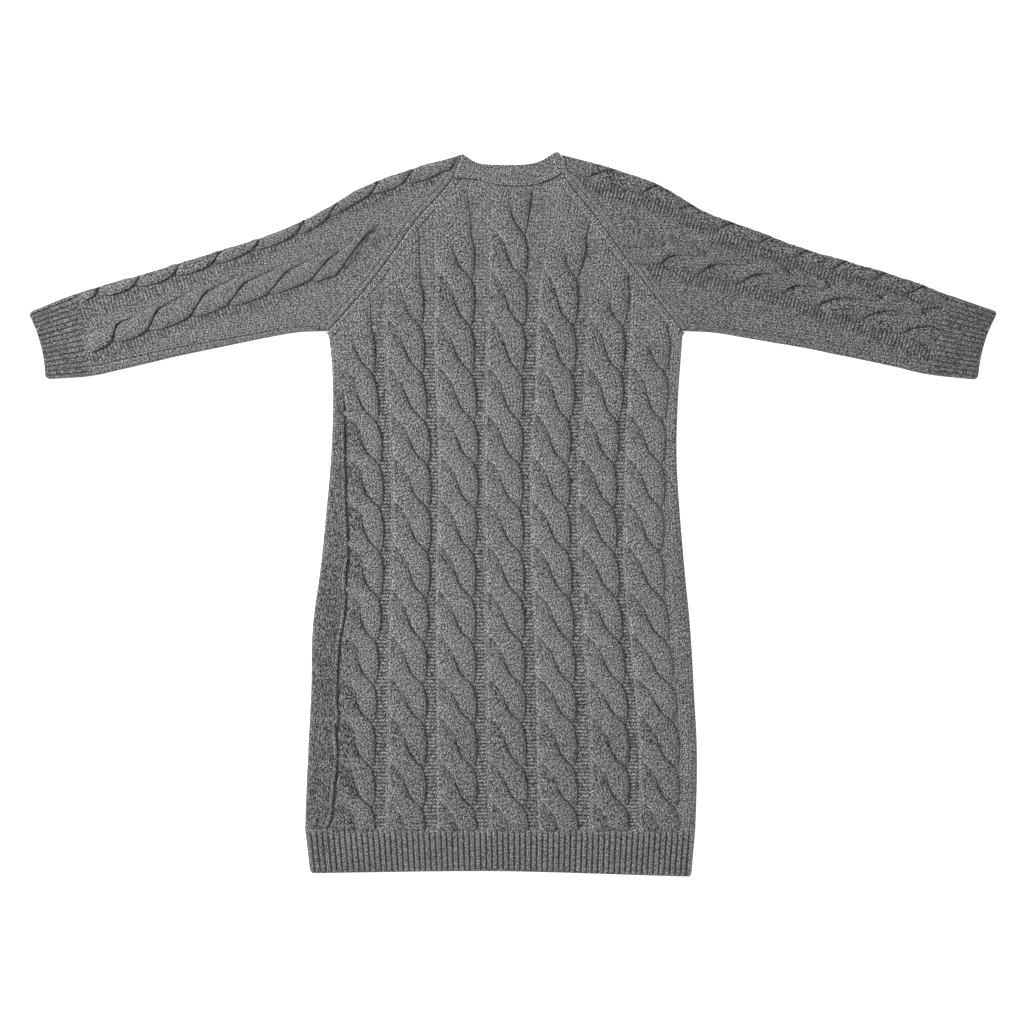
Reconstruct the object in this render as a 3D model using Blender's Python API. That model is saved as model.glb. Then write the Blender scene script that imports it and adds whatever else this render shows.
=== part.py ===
"""Long raglan cardigan in chunky cable knit, laid flat with its back upwards.

The origin is on the surface it lies on, under the middle of its outline. +Y runs from hem to neck,
+X towards the wearer's right hand and +Z up. Sizes are in millimetres until the meshes are made.
The two fronts, their bands and their hems make the lower layer, and the back, its hem and the neck
band make the upper one. A sleeve or a cuff is one flattened tube that runs through both layers.
"""

from collections import namedtuple
from math import cos, pi, sin

import bmesh
import bpy
import numpy as np

MM = 0.001

# Heights above the surface that the cardigan lies on
FRONT_TOP = 4.5
BACK_BOTTOM = 4.8
GROUND_WALL = 3.0
CABLE_RISE = 3.0
EDGE_WALL = 0.5
SEAM_DIP = 0.8
SLIT_LOW = 4.4
SLIT_HIGH = 4.9
SLEEVE_TOP = 7.9

# Sizes across the cloth
FOLD_RADIUS = 4.5
SLEEVE_FOLD = 4.0
SLIT_INSET = 4.2
CABLE_WIDTH = 48.0
CABLE_FLANK = 9.0
BAND_WIDTH = 31.5
HALF_GAP = 0.15
SEAM_SHIFT = 0.2
LEAST_STEP = 0.5
NECK_DIP = 10.4
HEM_SEAM = -450.5
ARC = (0.0, pi / 6, pi / 3, pi / 2)


def table(columns, rows):
    """Rows of sizes whose columns have names."""
    row_type = namedtuple("Row", columns)
    return [row_type(*row) for row in rows]


# Side edges of the body: a row for each height from the hem to the armpit
BODY = table("height left right", [
    (-507.4, -288.0, 253.0),
    (-450.5, -294.4, 258.2),
    (-344.5, -290.8, 260.9),
    (-249.6, -286.1, 256.4),
    (-161.8, -284.0, 251.2),
    (-71.2, -272.2, 242.5),
    (19.5, -263.2, 235.1),
    (86.0, -257.6, 231.9),
    (158.3, -255.2, 233.7),
    (215.0, -257.0, 237.5),
    (258.8, -262.0, 240.8),
])

# Raglan seams from the armpits to the neck edge, each with straight runs between its rows
RAGLAN = table("left_x left_y right_x right_y", [
    (-262.0, 258.8, 240.8, 258.8),
    (-211.3, 316.2, 195.5, 316.2),
    (-175.2, 363.2, 160.4, 363.2),
    (-139.1, 413.8, 119.8, 418.0),
    (-88.7, 471.3, 74.5, 477.0),
    (-72.5, 510.5, 66.6, 511.0),
])

# Right-hand edge of each of the back's seven cables, at rising heights
CABLES = table("height c1 c2 c3 c4 c5 c6 c7", [
    (-450.5, -195.0, -124.5, -51.0, 22.5, 92.5, 164.5, 234.5),
    (-324.7, -195.0, -122.0, -51.0, 18.5, 90.5, 164.5, 234.5),
    (-207.2, -190.0, -122.0, -52.5, 17.0, 88.0, 158.0, 225.0),
    (-75.4, -183.5, -117.0, -52.5, 15.5, 83.0, 149.5, 213.0),
    (19.5, -183.5, -116.0, -49.5, 14.0, 80.5, 146.5, 214.5),
    (104.5, -186.0, -117.5, -49.5, 14.0, 82.0, 150.0, 215.5),
    (176.7, -192.5, -123.5, -52.5, 15.5, 88.0, 157.0, 219.5),
    (248.9, -196.0, -125.5, -55.0, 18.5, 90.0, 159.5, 222.5),
    (331.0, -199.0, -127.5, -54.0, 20.0, 95.0, 167.0, 226.0),
    (423.0, -202.0, -129.5, -57.0, 22.5, 115.0, 180.0, 232.0),
    (480.0, -204.0, -131.0, -67.0, 34.0, 125.0, 188.0, 236.0),
])

# Folds of the left sleeve: cuff edge, cuff seam, then even steps to the neck and the armpit
SLEEVE_LEFT = table("upper_x upper_y lower_x lower_y", [
    (-685.3, 286.5, -660.0, 193.0),
    (-619.0, 314.8, -599.1, 195.1),
    (-549.6, 334.6, -557.4, 203.9),
    (-480.2, 355.3, -515.3, 213.7),
    (-410.8, 376.5, -473.5, 223.7),
    (-341.6, 398.6, -431.3, 232.5),
    (-275.9, 428.0, -389.2, 241.3),
    (-213.3, 464.2, -347.0, 249.9),
    (-145.9, 489.7, -304.7, 257.1),
    (-72.5, 510.5, -262.0, 258.8),
])

# Folds of the right sleeve, in the same order
SLEEVE_RIGHT = table("upper_x upper_y lower_x lower_y", [
    (685.3, 284.9, 648.0, 191.7),
    (619.8, 312.1, 587.5, 197.5),
    (550.4, 337.0, 544.5, 207.4),
    (479.7, 358.3, 501.3, 216.8),
    (408.9, 378.8, 458.0, 225.6),
    (339.9, 404.6, 414.6, 234.6),
    (270.8, 430.2, 371.1, 242.1),
    (207.1, 467.2, 327.5, 249.5),
    (137.7, 491.7, 283.8, 256.7),
    (66.6, 511.0, 240.8, 258.8),
])

# Ridge along a sleeve: where its four lines cross the cuff seam, as parts of the width there
RIDGE_AT_CUFF = (0.20, 0.30, 0.56, 0.66)
RIDGE_RISE = (0.0, 1.0, 1.0, 0.0)

# Free edge of the neck band, from the left raglan seam to the right one
NECK_EDGE = table("x y", [
    (-72.5, 510.5),
    (-61.6, 503.0),
    (-53.5, 498.4),
    (-43.0, 495.6),
    (-27.0, 494.7),
    (-9.0, 494.4),
    (9.0, 494.6),
    (22.0, 495.6),
    (33.0, 498.0),
    (42.5, 501.6),
    (51.5, 507.2),
    (60.5, 512.4),
    (66.6, 511.0),
])

# Front bands above the point of the V neck: the seam edge and the free edge of each
V_LEFT = table("seam_x seam_y free_x free_y", [
    (-42.0, 246.0, -10.6, 254.0),
    (-53.0, 300.0, -21.0, 310.0),
    (-66.0, 355.0, -33.0, 368.0),
    (-78.0, 415.0, -44.0, 425.0),
    (-88.7, 471.3, -52.5, 468.0),
    (-72.5, 510.5, -55.5, 499.0),
])
V_RIGHT = table("seam_x seam_y free_x free_y", [
    (21.9, 246.0, -9.4, 254.0),
    (34.0, 300.0, 2.0, 310.0),
    (48.0, 355.0, 15.0, 368.0),
    (61.0, 415.0, 28.0, 425.0),
    (74.5, 477.0, 38.0, 472.0),
    (66.6, 511.0, 48.5, 504.6),
])

# Middle of the front, where the two bands meet
CENTRE_FRONT = table("height x", [(-507.0, -17.0), (-450.5, -16.5), (-150.0, -13.5), (254.0, -10.0)])

# Bottom edge of the hem
HEM_EDGE = table("x y", [(-288.0, -507.4), (-25.0, -504.6), (253.0, -512.4)])

YARN = (0.178, 0.182, 0.184, 1.0)
RIB_YARN = (0.150, 0.152, 0.155, 1.0)


def column(rows, name):
    """One named column of a table, as an array."""
    return np.array([getattr(row, name) for row in rows])


def pair(rows, first, second):
    """Two named columns of a table, as an array of plan points."""
    return np.column_stack([column(rows, first), column(rows, second)])


def smoothed(points, steps):
    """The points and, between each two, steps - 1 more on a smooth curve through all of them."""
    points = np.asarray(points, float)
    padded = np.vstack([2 * points[0] - points[1], points, 2 * points[-1] - points[-2]])
    curve = []
    for before, start, end, after in zip(padded, padded[1:], padded[2:], padded[3:]):
        for t in np.arange(steps) / steps:
            bend = (2 * before - 5 * start + 4 * end - after) * t**2
            twist = (3 * start - before - 3 * end + after) * t**3
            curve.append(0.5 * (2 * start + (end - before) * t + bend + twist))
    return np.array(curve + [points[-1]])


def halved(points):
    """The points and the middle of each straight run between them."""
    points = np.asarray(points, float)
    middles = (points[:-1] + points[1:]) / 2
    mixed = [points[0]]
    for middle, end in zip(middles, points[1:]):
        mixed += [middle, end]
    return np.array(mixed)


def side_rows():
    """Left and right edge points of the body, from the hem seam to the armpit."""
    rows = smoothed([(row.height, row.left, row.right) for row in BODY], 2)
    rows = rows[rows[:, 0] > HEM_SEAM - 1]
    return rows[:, [1, 0]], rows[:, [2, 0]]


def solid(name, vertices, faces, material, parts):
    """One closed mesh object in metres, its faces turned outwards."""
    mesh = bpy.data.meshes.new(name)
    mesh.from_pydata([tuple(MM * value for value in point) for point in vertices], [], faces)
    form = bmesh.new()
    form.from_mesh(mesh)
    bmesh.ops.recalc_face_normals(form, faces=form.faces)
    form.to_mesh(mesh)
    form.free()
    mesh.materials.append(material)
    mesh.shade_smooth()
    mesh.set_sharp_from_angle(angle=pi / 4)
    parts.objects.link(bpy.data.objects.new(name, mesh))


def panel(name, plan, low, high, material, parts):
    """A wall of cloth over a grid of plan points, between its heights low and high."""
    rows, columns = plan.shape[:2]
    count = rows * columns
    top = np.dstack([plan, high]).reshape(count, 3)
    bottom = np.dstack([plan, low]).reshape(count, 3)
    index = np.arange(count).reshape(rows, columns)
    skin = np.stack([index[:-1, :-1], index[:-1, 1:], index[1:, 1:], index[1:, :-1]], axis=-1).reshape(-1, 4)
    faces = skin.tolist() + (skin[:, ::-1] + count).tolist()
    rim = list(index[0]) + list(index[1:, -1]) + list(index[-1, -2::-1]) + list(index[-2:0:-1, 0])
    for start, end in zip(rim, rim[1:] + rim[:1]):
        faces.append((start, start + count, end + count, end))
    solid(name, np.vstack([top, bottom]), faces, material, parts)


def tube(name, outer, inner, material, parts):
    """A tube of cloth through rings of points, open at both ends."""
    rings, around = outer.shape[:2]
    count = rings * around
    index = np.arange(count).reshape(rings, around)
    onward = np.roll(index, -1, axis=1)
    skin = np.stack([index[:-1], onward[:-1], onward[1:], index[1:]], axis=-1).reshape(-1, 4)
    faces = skin.tolist() + (skin[:, ::-1] + count).tolist()
    for ring in (0, -1):
        for start, end in zip(index[ring], onward[ring]):
            faces.append((start, start + count, end + count, end))
    solid(name, np.vstack([outer.reshape(count, 3), inner.reshape(count, 3)]), faces, material, parts)


def spread(start, end, parts_of_width):
    """Points at the given parts of the way from start to end."""
    share = np.asarray(parts_of_width)[:, None]
    return np.asarray(start) * (1 - share) + np.asarray(end) * share


def back_row(left, right, rounded, seam_drop):
    """One row of the back: its plan points and the heights of its outer face."""
    edge = [FOLD_RADIUS * (1 - cos(angle)) for angle in ARC]
    height = (left[1] + right[1]) / 2
    across = [left[0] + step for step in edge]
    rise = [0.0] * len(edge)
    for name in CABLES[0]._fields[1:]:
        right_side = np.interp(height, column(CABLES, "height"), column(CABLES, name))
        left_side = right_side - CABLE_WIDTH
        across += [left_side, left_side + CABLE_FLANK, right_side - CABLE_FLANK, right_side]
        rise += [0.0, 1.0, 1.0, 0.0]
    across += [right[0] - step for step in reversed(edge)]
    rise += [0.0] * len(edge)
    margin = np.array(edge + [edge[-1] + LEAST_STEP * n for n in range(1, len(across) - len(edge) + 1)])
    placed = np.clip(across, left[0] + margin, right[0] - margin[::-1])
    rise = np.where(np.abs(placed - across) < LEAST_STEP, rise, 0.0)
    share = (placed - placed[0]) / (placed[-1] - placed[0])
    lie = left[1] * (1 - share) + right[1] * share - seam_drop * 4 * share * (1 - share)
    high = BACK_BOTTOM + GROUND_WALL + CABLE_RISE * rise
    for step, angle in enumerate(ARC):
        curved = BACK_BOTTOM + EDGE_WALL + (GROUND_WALL - EDGE_WALL) * sin(angle)
        level = curved if rounded else BACK_BOTTOM + GROUND_WALL - SEAM_DIP * (step == 0)
        high[step] = level
        high[-1 - step] = level
    return np.column_stack([placed, lie]), high


def make_back(material, parts):
    """Back panel from the hem seam to the neck band, with its seven cables as ridges.

    It gives back the points of its neck seam.
    """
    left, right = side_rows()
    raglan_left = halved(pair(RAGLAN[:-1], "left_x", "left_y"))[1:]
    raglan_right = halved(pair(RAGLAN[:-1], "right_x", "right_y"))[1:]
    left = np.vstack([left, raglan_left]) + (SEAM_SHIFT, 0)
    right = np.vstack([right, raglan_right]) - (SEAM_SHIFT, 0)
    left[0, 1] = right[0, 1] = HEM_SEAM + HALF_GAP
    left[-1, 1] -= 2 * HALF_GAP
    right[-1, 1] -= 2 * HALF_GAP
    drops = np.zeros(len(left))
    drops[-3:] = NECK_DIP * np.array([0.25, 0.6, 1.0])
    first_raglan = len(left) - len(raglan_left)
    rows = [back_row(*ends, number < first_raglan, drop)
            for number, (*ends, drop) in enumerate(zip(left, right, drops))]
    plan = np.array([row[0] for row in rows])
    high = np.array([row[1] for row in rows])
    panel("back", plan, np.full(high.shape, BACK_BOTTOM), high, material, parts)
    return plan[-1]


def fold_profile(count, side):
    """Parts of the full wall along a row of a layer, thin at its folded side edge."""
    profile = np.ones(count)
    thin = [sin(angle) for angle in ARC]
    if side == "left":
        profile[:len(ARC)] = thin
    else:
        profile[-len(ARC):] = thin[::-1]
    return profile


def folded_row(outer, inner, plain_columns):
    """Plan points from a folded side edge to an inner edge."""
    edge = [FOLD_RADIUS * (1 - cos(angle)) for angle in ARC]
    width = abs(inner[0] - outer[0])
    shares = [step / width for step in edge]
    shares += list(np.linspace(shares[-1], 1, plain_columns + 1)[1:])
    return spread(outer, inner, shares)


def front_edges(side):
    """Side and raglan edge, and band seam, of the front on that side, from hem seam to neck."""
    left, right = side_rows()
    outer = left if side == "left" else right
    inward = 1 if side == "left" else -1
    centre = np.interp(outer[:, 1], column(CENTRE_FRONT, "height"), column(CENTRE_FRONT, "x"))
    seam = np.column_stack([centre - inward * (BAND_WIDTH + 0.5), outer[:, 1]])
    neck = V_LEFT if side == "left" else V_RIGHT
    seam[-1] = (neck[0].seam_x, neck[0].seam_y)
    raglan = pair(RAGLAN, side + "_x", side + "_y")
    v_seam = pair(neck, "seam_x", "seam_y")
    top = 0.92
    raglan[4] = raglan[3] * (1 - top) + raglan[4] * top
    v_seam[4] = v_seam[3] * (1 - top) + v_seam[4] * top
    outer = np.vstack([outer, raglan[1:5]]) + (inward * SEAM_SHIFT, 0)
    seam = np.vstack([seam, v_seam[1:5]]) - (inward * SEAM_SHIFT, 0)
    outer[0, 1] = seam[0, 1] = HEM_SEAM + HALF_GAP
    return outer, seam


def make_front(side, material, parts):
    """Front panel on one side, below the back, with its flat outer face on the surface."""
    outer, seam = front_edges(side)
    plan = np.array([folded_row(start, end, 6) for start, end in zip(outer, seam)])
    walls = np.tile(fold_profile(plan.shape[1], "left"), (len(plan), 1))
    walls[-4:] = 1.0
    low = FRONT_TOP - EDGE_WALL - (FRONT_TOP - EDGE_WALL) * walls
    panel("front_" + side, plan, low, np.full(low.shape, FRONT_TOP), material, parts)


def hem_rows(outer, inner_x, columns):
    """Three rows of a hem between a folded side edge and an inner line."""
    rows = []
    for share in (0.0, 0.5, 1.0):
        start_x = outer[0] * (1 - share) + outer[1] * share
        plan = folded_row((start_x, 0), (inner_x, 0), columns)
        bottom = np.interp(plan[:, 0], column(HEM_EDGE, "x"), column(HEM_EDGE, "y"))
        plan[:, 1] = bottom * (1 - share) + (HEM_SEAM - HALF_GAP) * share
        rows.append(plan)
    return np.array(rows)


def make_hems(material, parts):
    """Ribbed hem of the back, and of each front up to its band."""
    left = [row.left + SEAM_SHIFT for row in BODY[:2]]
    right = [row.right - SEAM_SHIFT for row in BODY[:2]]
    middle = HEM_EDGE[1].x
    half = hem_rows(left, middle, 8)
    other = hem_rows(right, middle, 8)
    plan = np.concatenate([half, other[:, -2::-1]], axis=1)
    walls = np.minimum(fold_profile(plan.shape[1], "left"), fold_profile(plan.shape[1], "right"))
    high = np.tile(BACK_BOTTOM + EDGE_WALL + (GROUND_WALL - EDGE_WALL) * walls, (3, 1))
    panel("hem_back", plan, np.full(high.shape, BACK_BOTTOM), high, material, parts)
    for side, outer, inward in (("left", left, 1), ("right", right, -1)):
        inner = CENTRE_FRONT[0].x - inward * (BAND_WIDTH + 0.5 + 2 * SEAM_SHIFT + 0.3)
        plan = hem_rows(outer, inner, 8)
        low = np.tile((FRONT_TOP - EDGE_WALL) * (1 - fold_profile(plan.shape[1], "left")), (3, 1))
        panel("hem_front_" + side, plan, low, np.full(low.shape, FRONT_TOP), material, parts)


def make_front_band(side, material, parts):
    """Band along one front, from the hem up its edge and round the V neck to the shoulder."""
    inward = 1 if side == "left" else -1
    neck = V_LEFT if side == "left" else V_RIGHT
    heights = np.linspace(BODY[0].height, neck[0].free_y, 8)[:-1]
    centre = np.interp(heights, column(CENTRE_FRONT, "height"), column(CENTRE_FRONT, "x"))
    free = np.column_stack([centre - inward * 0.5, heights])
    seam = np.column_stack([centre - inward * BAND_WIDTH, heights])
    free = np.vstack([free, halved(pair(neck, "free_x", "free_y"))])
    seam = np.vstack([seam, halved(pair(neck, "seam_x", "seam_y"))]) + (inward * SEAM_SHIFT, 0)
    plan = np.array([spread(*ends, (0.0, 0.5, 1.0)) for ends in zip(seam, free)])
    high = np.full(plan.shape[:2], FRONT_TOP)
    panel("front_band_" + side, plan, np.zeros(high.shape), high, material, parts)


def make_neck_band(back_seam, material, parts):
    """Band round the back of the neck, between the two raglan seams."""
    edge = pair(NECK_EDGE, "x", "y")
    corner = RAGLAN[4]
    share = (edge[:, 0] - edge[0, 0]) / (edge[-1, 0] - edge[0, 0])
    seam = spread((corner.left_x, corner.left_y), (corner.right_x, corner.right_y), share)
    seam[:, 1] = np.interp(seam[:, 0], back_seam[:, 0], back_seam[:, 1]) + 2 * HALF_GAP
    shift = SEAM_SHIFT * (1 - 2 * share)
    edge[:, 0] += shift
    seam[:, 0] += shift
    plan = np.array([seam, (seam + edge) / 2, edge])
    high = np.full(plan.shape[:2], BACK_BOTTOM + GROUND_WALL)
    high[-1] -= SEAM_DIP
    panel("neck_band", plan, np.full(high.shape, BACK_BOTTOM), high, material, parts)


def lengths(points):
    """Parts of a line's whole length that are reached at its points."""
    steps = np.hypot(*np.diff(points, axis=0).T)
    return np.concatenate([[0.0], np.cumsum(steps)]) / steps.sum()


def flattened_ring(lower, upper, bow, ridge, ridge_rise):
    """Outer and inner ring of a flattened tube between its two fold points.

    bow(share) is how far the tube's section leaves the straight line there, in plan.
    """
    width = np.hypot(*(upper - lower))
    fold = [(SLEEVE_FOLD * (1 - cos(angle)), sin(angle)) for angle in (0.0, pi / 4, pi / 2)]
    middle = SLEEVE_TOP / 2
    shares = [step / width for step, _ in fold] + list(ridge) + [1 - step / width for step, _ in fold[::-1]]
    swell = [bulge for _, bulge in fold] + [1.0] * len(ridge) + [bulge for _, bulge in fold[::-1]]
    rise = [0.0] * len(fold) + list(ridge_rise) + [0.0] * len(fold)
    top = [(s, middle + middle * w + CABLE_RISE * r, SLIT_HIGH) for s, w, r in zip(shares, swell, rise)]
    bottom = [(s, middle - middle * w, SLIT_LOW) for s, w in zip(shares, swell)]
    slit_middle = (SLIT_LOW + SLIT_HIGH) / 2
    top[0] = (*top[0][:2], slit_middle)
    top[-1] = (*top[-1][:2], slit_middle)
    outer, inner = [], []
    for share, outside, inside in top + bottom[-2:0:-1]:
        inset = SLIT_INSET / width + share * (1 - 2 * SLIT_INSET / width)
        outer.append((*(lower + share * (upper - lower) + bow(share)), outside))
        inner.append((*(lower + inset * (upper - lower) + bow(inset)), inside))
    return outer, inner


def make_sleeve(side, rows, materials, parts):
    """Sleeve from the cuff seam to the raglan seam, and its cuff, as two flattened tubes."""
    outward = -1 if side == "left" else 1
    upper = smoothed(pair(rows, "upper_x", "upper_y"), 2)
    lower = smoothed(pair(rows, "lower_x", "lower_y"), 2)
    raglan = pair(RAGLAN, side + "_x", side + "_y") + (outward * SEAM_SHIFT, 0)
    upper[-1] += (outward * SEAM_SHIFT, 0)
    lower[-1] += (outward * SEAM_SHIFT, 0)
    knots = lengths(raglan)

    def bow_by(weight):
        def bow(share):
            on_seam = np.array([np.interp(share, knots, raglan[:, axis]) for axis in (0, 1)])
            return weight * (on_seam - (raglan[0] + share * (raglan[-1] - raglan[0])))
        return bow

    def rings(first, last):
        made = []
        for number in range(first, last + 1):
            along = max(0.0, (number - 2) / (len(upper) - 3))
            ridge = np.array(RIDGE_AT_CUFF) * (1 - along) + knots[1:-1] * along
            rise = np.array(RIDGE_RISE) * (number >= 2 and last > 2)
            made.append(flattened_ring(lower[number], upper[number], bow_by(along**3), ridge, rise))
        return [np.array(skin) for skin in zip(*made)]

    sleeve = rings(2, len(upper) - 1)
    tube("sleeve_" + side, *sleeve, materials["knit"], parts)
    cuff = rings(0, 2)
    for skin in cuff:
        skin[-1, :, 0] += outward * 2 * HALF_GAP
    tube("cuff_" + side, *cuff, materials["rib"], parts)


def yarn_material(name, colour):
    """Plain rough wool in one colour."""
    material = bpy.data.materials.new(name)
    material.use_nodes = True
    surface = material.node_tree.nodes["Principled BSDF"]
    surface.inputs["Base Color"].default_value = colour
    surface.inputs["Roughness"].default_value = 0.95
    surface.inputs["Metallic"].default_value = 0.0
    material.diffuse_color = colour
    return material


def main():
    """Builds every piece of the cardigan in its own collection."""
    for existing in list(bpy.data.objects):
        bpy.data.objects.remove(existing)
    parts = bpy.data.collections.new("midi_cardigan")
    bpy.context.scene.collection.children.link(parts)
    materials = {"knit": yarn_material("cable_knit", YARN), "rib": yarn_material("rib_knit", RIB_YARN)}
    neck_seam = make_back(materials["knit"], parts)
    make_neck_band(neck_seam, materials["rib"], parts)
    make_hems(materials["rib"], parts)
    for side, rows in (("left", SLEEVE_LEFT), ("right", SLEEVE_RIGHT)):
        make_front(side, materials["knit"], parts)
        make_front_band(side, materials["rib"], parts)
        make_sleeve(side, rows, materials, parts)


main()
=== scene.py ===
"""Looks of a long raglan cardigan in chunky cable knit, laid flat with its back upwards.

Lengths are in millimetres until a mesh is made. Each cable, rib and seam is worked flat first, as
a run of strands on a straight piece of cloth, and is then laid on the form that it belongs to.
"""

from collections import namedtuple
from math import pi, radians

import bmesh
import bpy
import numpy as np
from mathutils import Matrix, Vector


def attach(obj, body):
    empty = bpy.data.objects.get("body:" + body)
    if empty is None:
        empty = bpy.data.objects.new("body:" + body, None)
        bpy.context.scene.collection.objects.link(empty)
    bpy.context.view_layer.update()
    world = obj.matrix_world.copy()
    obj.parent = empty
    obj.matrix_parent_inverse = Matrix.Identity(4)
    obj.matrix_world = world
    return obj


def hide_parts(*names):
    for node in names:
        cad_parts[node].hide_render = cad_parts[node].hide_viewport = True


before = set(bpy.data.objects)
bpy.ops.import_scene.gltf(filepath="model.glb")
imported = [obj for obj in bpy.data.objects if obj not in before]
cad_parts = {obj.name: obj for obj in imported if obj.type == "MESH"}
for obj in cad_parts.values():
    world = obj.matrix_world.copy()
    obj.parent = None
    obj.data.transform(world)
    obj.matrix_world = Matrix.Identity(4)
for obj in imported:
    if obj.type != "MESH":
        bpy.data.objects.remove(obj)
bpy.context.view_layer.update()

MM = 0.001
FAR = 1e3
SIDES = ("left", "right")
INWARD = {"left": 1, "right": -1}

# Stitches: the width of one and the height of one
WALE = 5.1
COURSE = 3.8

# Heights above the floor
BAND_FACE = 1.4
UNDER_HEM = 1.6
FRONT_FACE = 2.6
FRONT_TOP = 4.5
BACK_BOTTOM = 4.8
BACK_TOP = 6.9
SLEEVE_LOW = 1.8
SLEEVE_HIGH = 7.1
SLIT_LOW = 4.4
SLIT_HIGH = 4.9

# Sizes across the cloth
EDGE_ROUND = 4.5
ARC = np.radians([0.0, 22.0, 45.0, 67.0, 90.0])
SLEEVE_ROUND = 4.0
SLEEVE_INSET = 2.4
CUFF_HOLLOW = 6.0
CUFF_CORNER = 4.5
CUFF_LONGER = 3.0
HEM_CORNER = 4.5
HEM_SEAM = -450.5
HEM_LONGER = 1.5
HEM_PITCH = 7.8
RIB_HALF = 3.7
NECK_PITCH = 4.6
NECK_DIP = 10.4
NECK_MIDDLE = -7.0
NECK_HALF = 80.0
NECK_SEAM_LOW = 463.5
BAND_WIDTH = 31.5
BAND_RIBS = (-11.7, -3.9, 3.9, 11.7)
UNDERARM_ROUND = 8.0
RAGLAN_SLANTS = {"left": (0.78, 0.21), "right": (0.21, 0.78)}

# Cables: half a width, the outer edge of a covered strand, how far a strand reaches under the one
# that covers it, the spacing of its points, the height where the back's side groove has faded,
# and how much the last leaf of the left sleeve bulges and at which step
CABLE_HALF = 26.0
OUTER_EDGE = -27.0
UNDERLAP = 0.8
CABLE_STEP = 3.6
GROOVE_TOP = 172.0
LAST_LEAF = 30.0
LAST_LEAF_STEP = 7.92

# Dark, middle and light tone of the yarn, and how much painted shade darkens the cuffs
CABLE_TONES = ((0.018, 0.019, 0.020), (0.163, 0.169, 0.171), (0.59, 0.602, 0.607))
RIB_TONES = ((0.014, 0.015, 0.016), (0.170, 0.175, 0.177), (0.65, 0.66, 0.665))
CUFF_SHADE = 0.22

# The studio, in metres
FLOOR_REACH = 6.0
FLOOR_HEIGHT = -0.0005
CAMERA_PLACE = (-0.0014, 0.0025, 4.037)


def table(columns, rows):
    """Rows of sizes whose columns have names."""
    row_type = namedtuple("Row", columns)
    return [row_type(*row) for row in rows]


# Side edges of the body: a row for each height from the hem to the armpit
BODY = table("height left right", [
    (-507.4, -288, 253), (-450.5, -294.4, 258.2), (-344.5, -290.8, 260.9), (-249.6, -286.1, 256.4),
    (-161.8, -284, 251.2), (-71.2, -272.2, 242.5), (19.5, -263.2, 235.1), (86, -257.6, 231.9),
    (158.3, -255.2, 233.7), (215, -257, 237.5), (258.8, -262, 240.8),
])

# Raglan seams from the armpits to the neck edge
RAGLAN = table("left_x left_y right_x right_y", [
    (-262, 258.8, 240.8, 258.8), (-211.3, 316.2, 195.5, 316.2), (-175.2, 363.2, 160.4, 363.2),
    (-139.1, 413.8, 119.8, 418), (-88.7, 471.3, 74.5, 477), (-72.5, 510.5, 66.6, 511),
])

# Strips beside a raglan seam: their edges, lift and thickness, and how dark the painted shade along one edge
# is
RAGLAN_STRIPS = table("inner outer lift thick depth", [
    (-14, -7.4, 0.3, 0.9, 0.5), (-7.4, -0.2, 0.8, 1.2, 1), (0.2, 10.6, 0.5, 1.2, 0.75),
])

# Right-hand edge of each of the back's seven cables, at rising heights
CABLES = table("height c1 c2 c3 c4 c5 c6 c7", [
    (-450.5, -195, -124.5, -51, 22.5, 92.5, 164.5, 234.5),
    (-324.7, -195, -122, -51, 18.5, 90.5, 164.5, 234.5), (-207.2, -190, -122, -52.5, 17, 88, 158, 225),
    (-75.4, -183.5, -117, -52.5, 15.5, 83, 149.5, 213),
    (19.5, -183.5, -116, -49.5, 14, 80.5, 146.5, 214.5),
    (104.5, -186, -117.5, -49.5, 14, 82, 150, 215.5),
    (176.7, -192.5, -123.5, -52.5, 15.5, 88, 157, 219.5),
    (248.9, -196, -125.5, -55, 18.5, 90, 159.5, 222.5), (331, -199, -127.5, -54, 20, 95, 167, 226),
    (423, -202, -129.5, -57, 22.5, 115, 180, 232), (480, -204, -131, -67, 34, 125, 188, 236),
])
CABLE_NAMES = CABLES[0]._fields[1:]

# Heights at which the back's cables are pinched by a finished crossing, the first of each cable, and
# the heights above which the painted shade on the right-hand edges of the last two cables is faint
PINCHES = [480, 399.1, 336.7, 268.8, 202, 133.8, 73, 11, -51.3, -116.5, -178.8, -239.7, -293.6, -357.3,
           -413.9, -476]
FIRST_CROSSING = (4, 3, 2, 1, 2, 3, 4)
FAINT_ABOVE = {5: 262.0, 6: -FAR}

# The right-hand edge of one strand of a cable, counted in turns from the place where it comes out
# over its neighbour, with how far the strand lifts, how much higher its right-hand edge is and how
# dark the painted shade along that edge is. The next strand starts one turn further on and lies to
# the left of this edge
BACK_STRAND = table("turn edge lift tilt dark", [
    (-1.2, -26.9, -1.9, 0, 0), (-1.08, -23.5, -1.7, 0, 0), (-0.97, -15.5, -1.4, 0.1, 0.05),
    (-0.79, -8.2, -0.7, 0.4, 0.12), (-0.65, -4.6, 0.1, 0.9, 0.45), (-0.5, -1.4, 0.9, 1.3, 0.85),
    (-0.38, 1.2, 1.4, 1.4, 1), (-0.25, 4.9, 1.8, 1.2, 0.95), (-0.13, 10.4, 2, 0.6, 0.7),
    (-0.04, 16.6, 2.1, 0.2, 0.6), (0.04, 20.3, 2.1, 0, 0.5), (0.14, 23.2, 2, -0.2, 0.45),
    (0.25, 25.2, 1.7, -0.2, 0.7), (0.39, 27.2, 1.2, 0.3, 0.85), (0.55, 28, 0.6, 1, 0.9),
    (0.71, 27.6, 0.1, 1.5, 0.85), (0.84, 26.7, -0.2, 1.5, 0.6), (0.96, 25, -0.6, 1.3, 0.35),
    (1.1, 20, -1.4, 1, 0.3),
])
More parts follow.
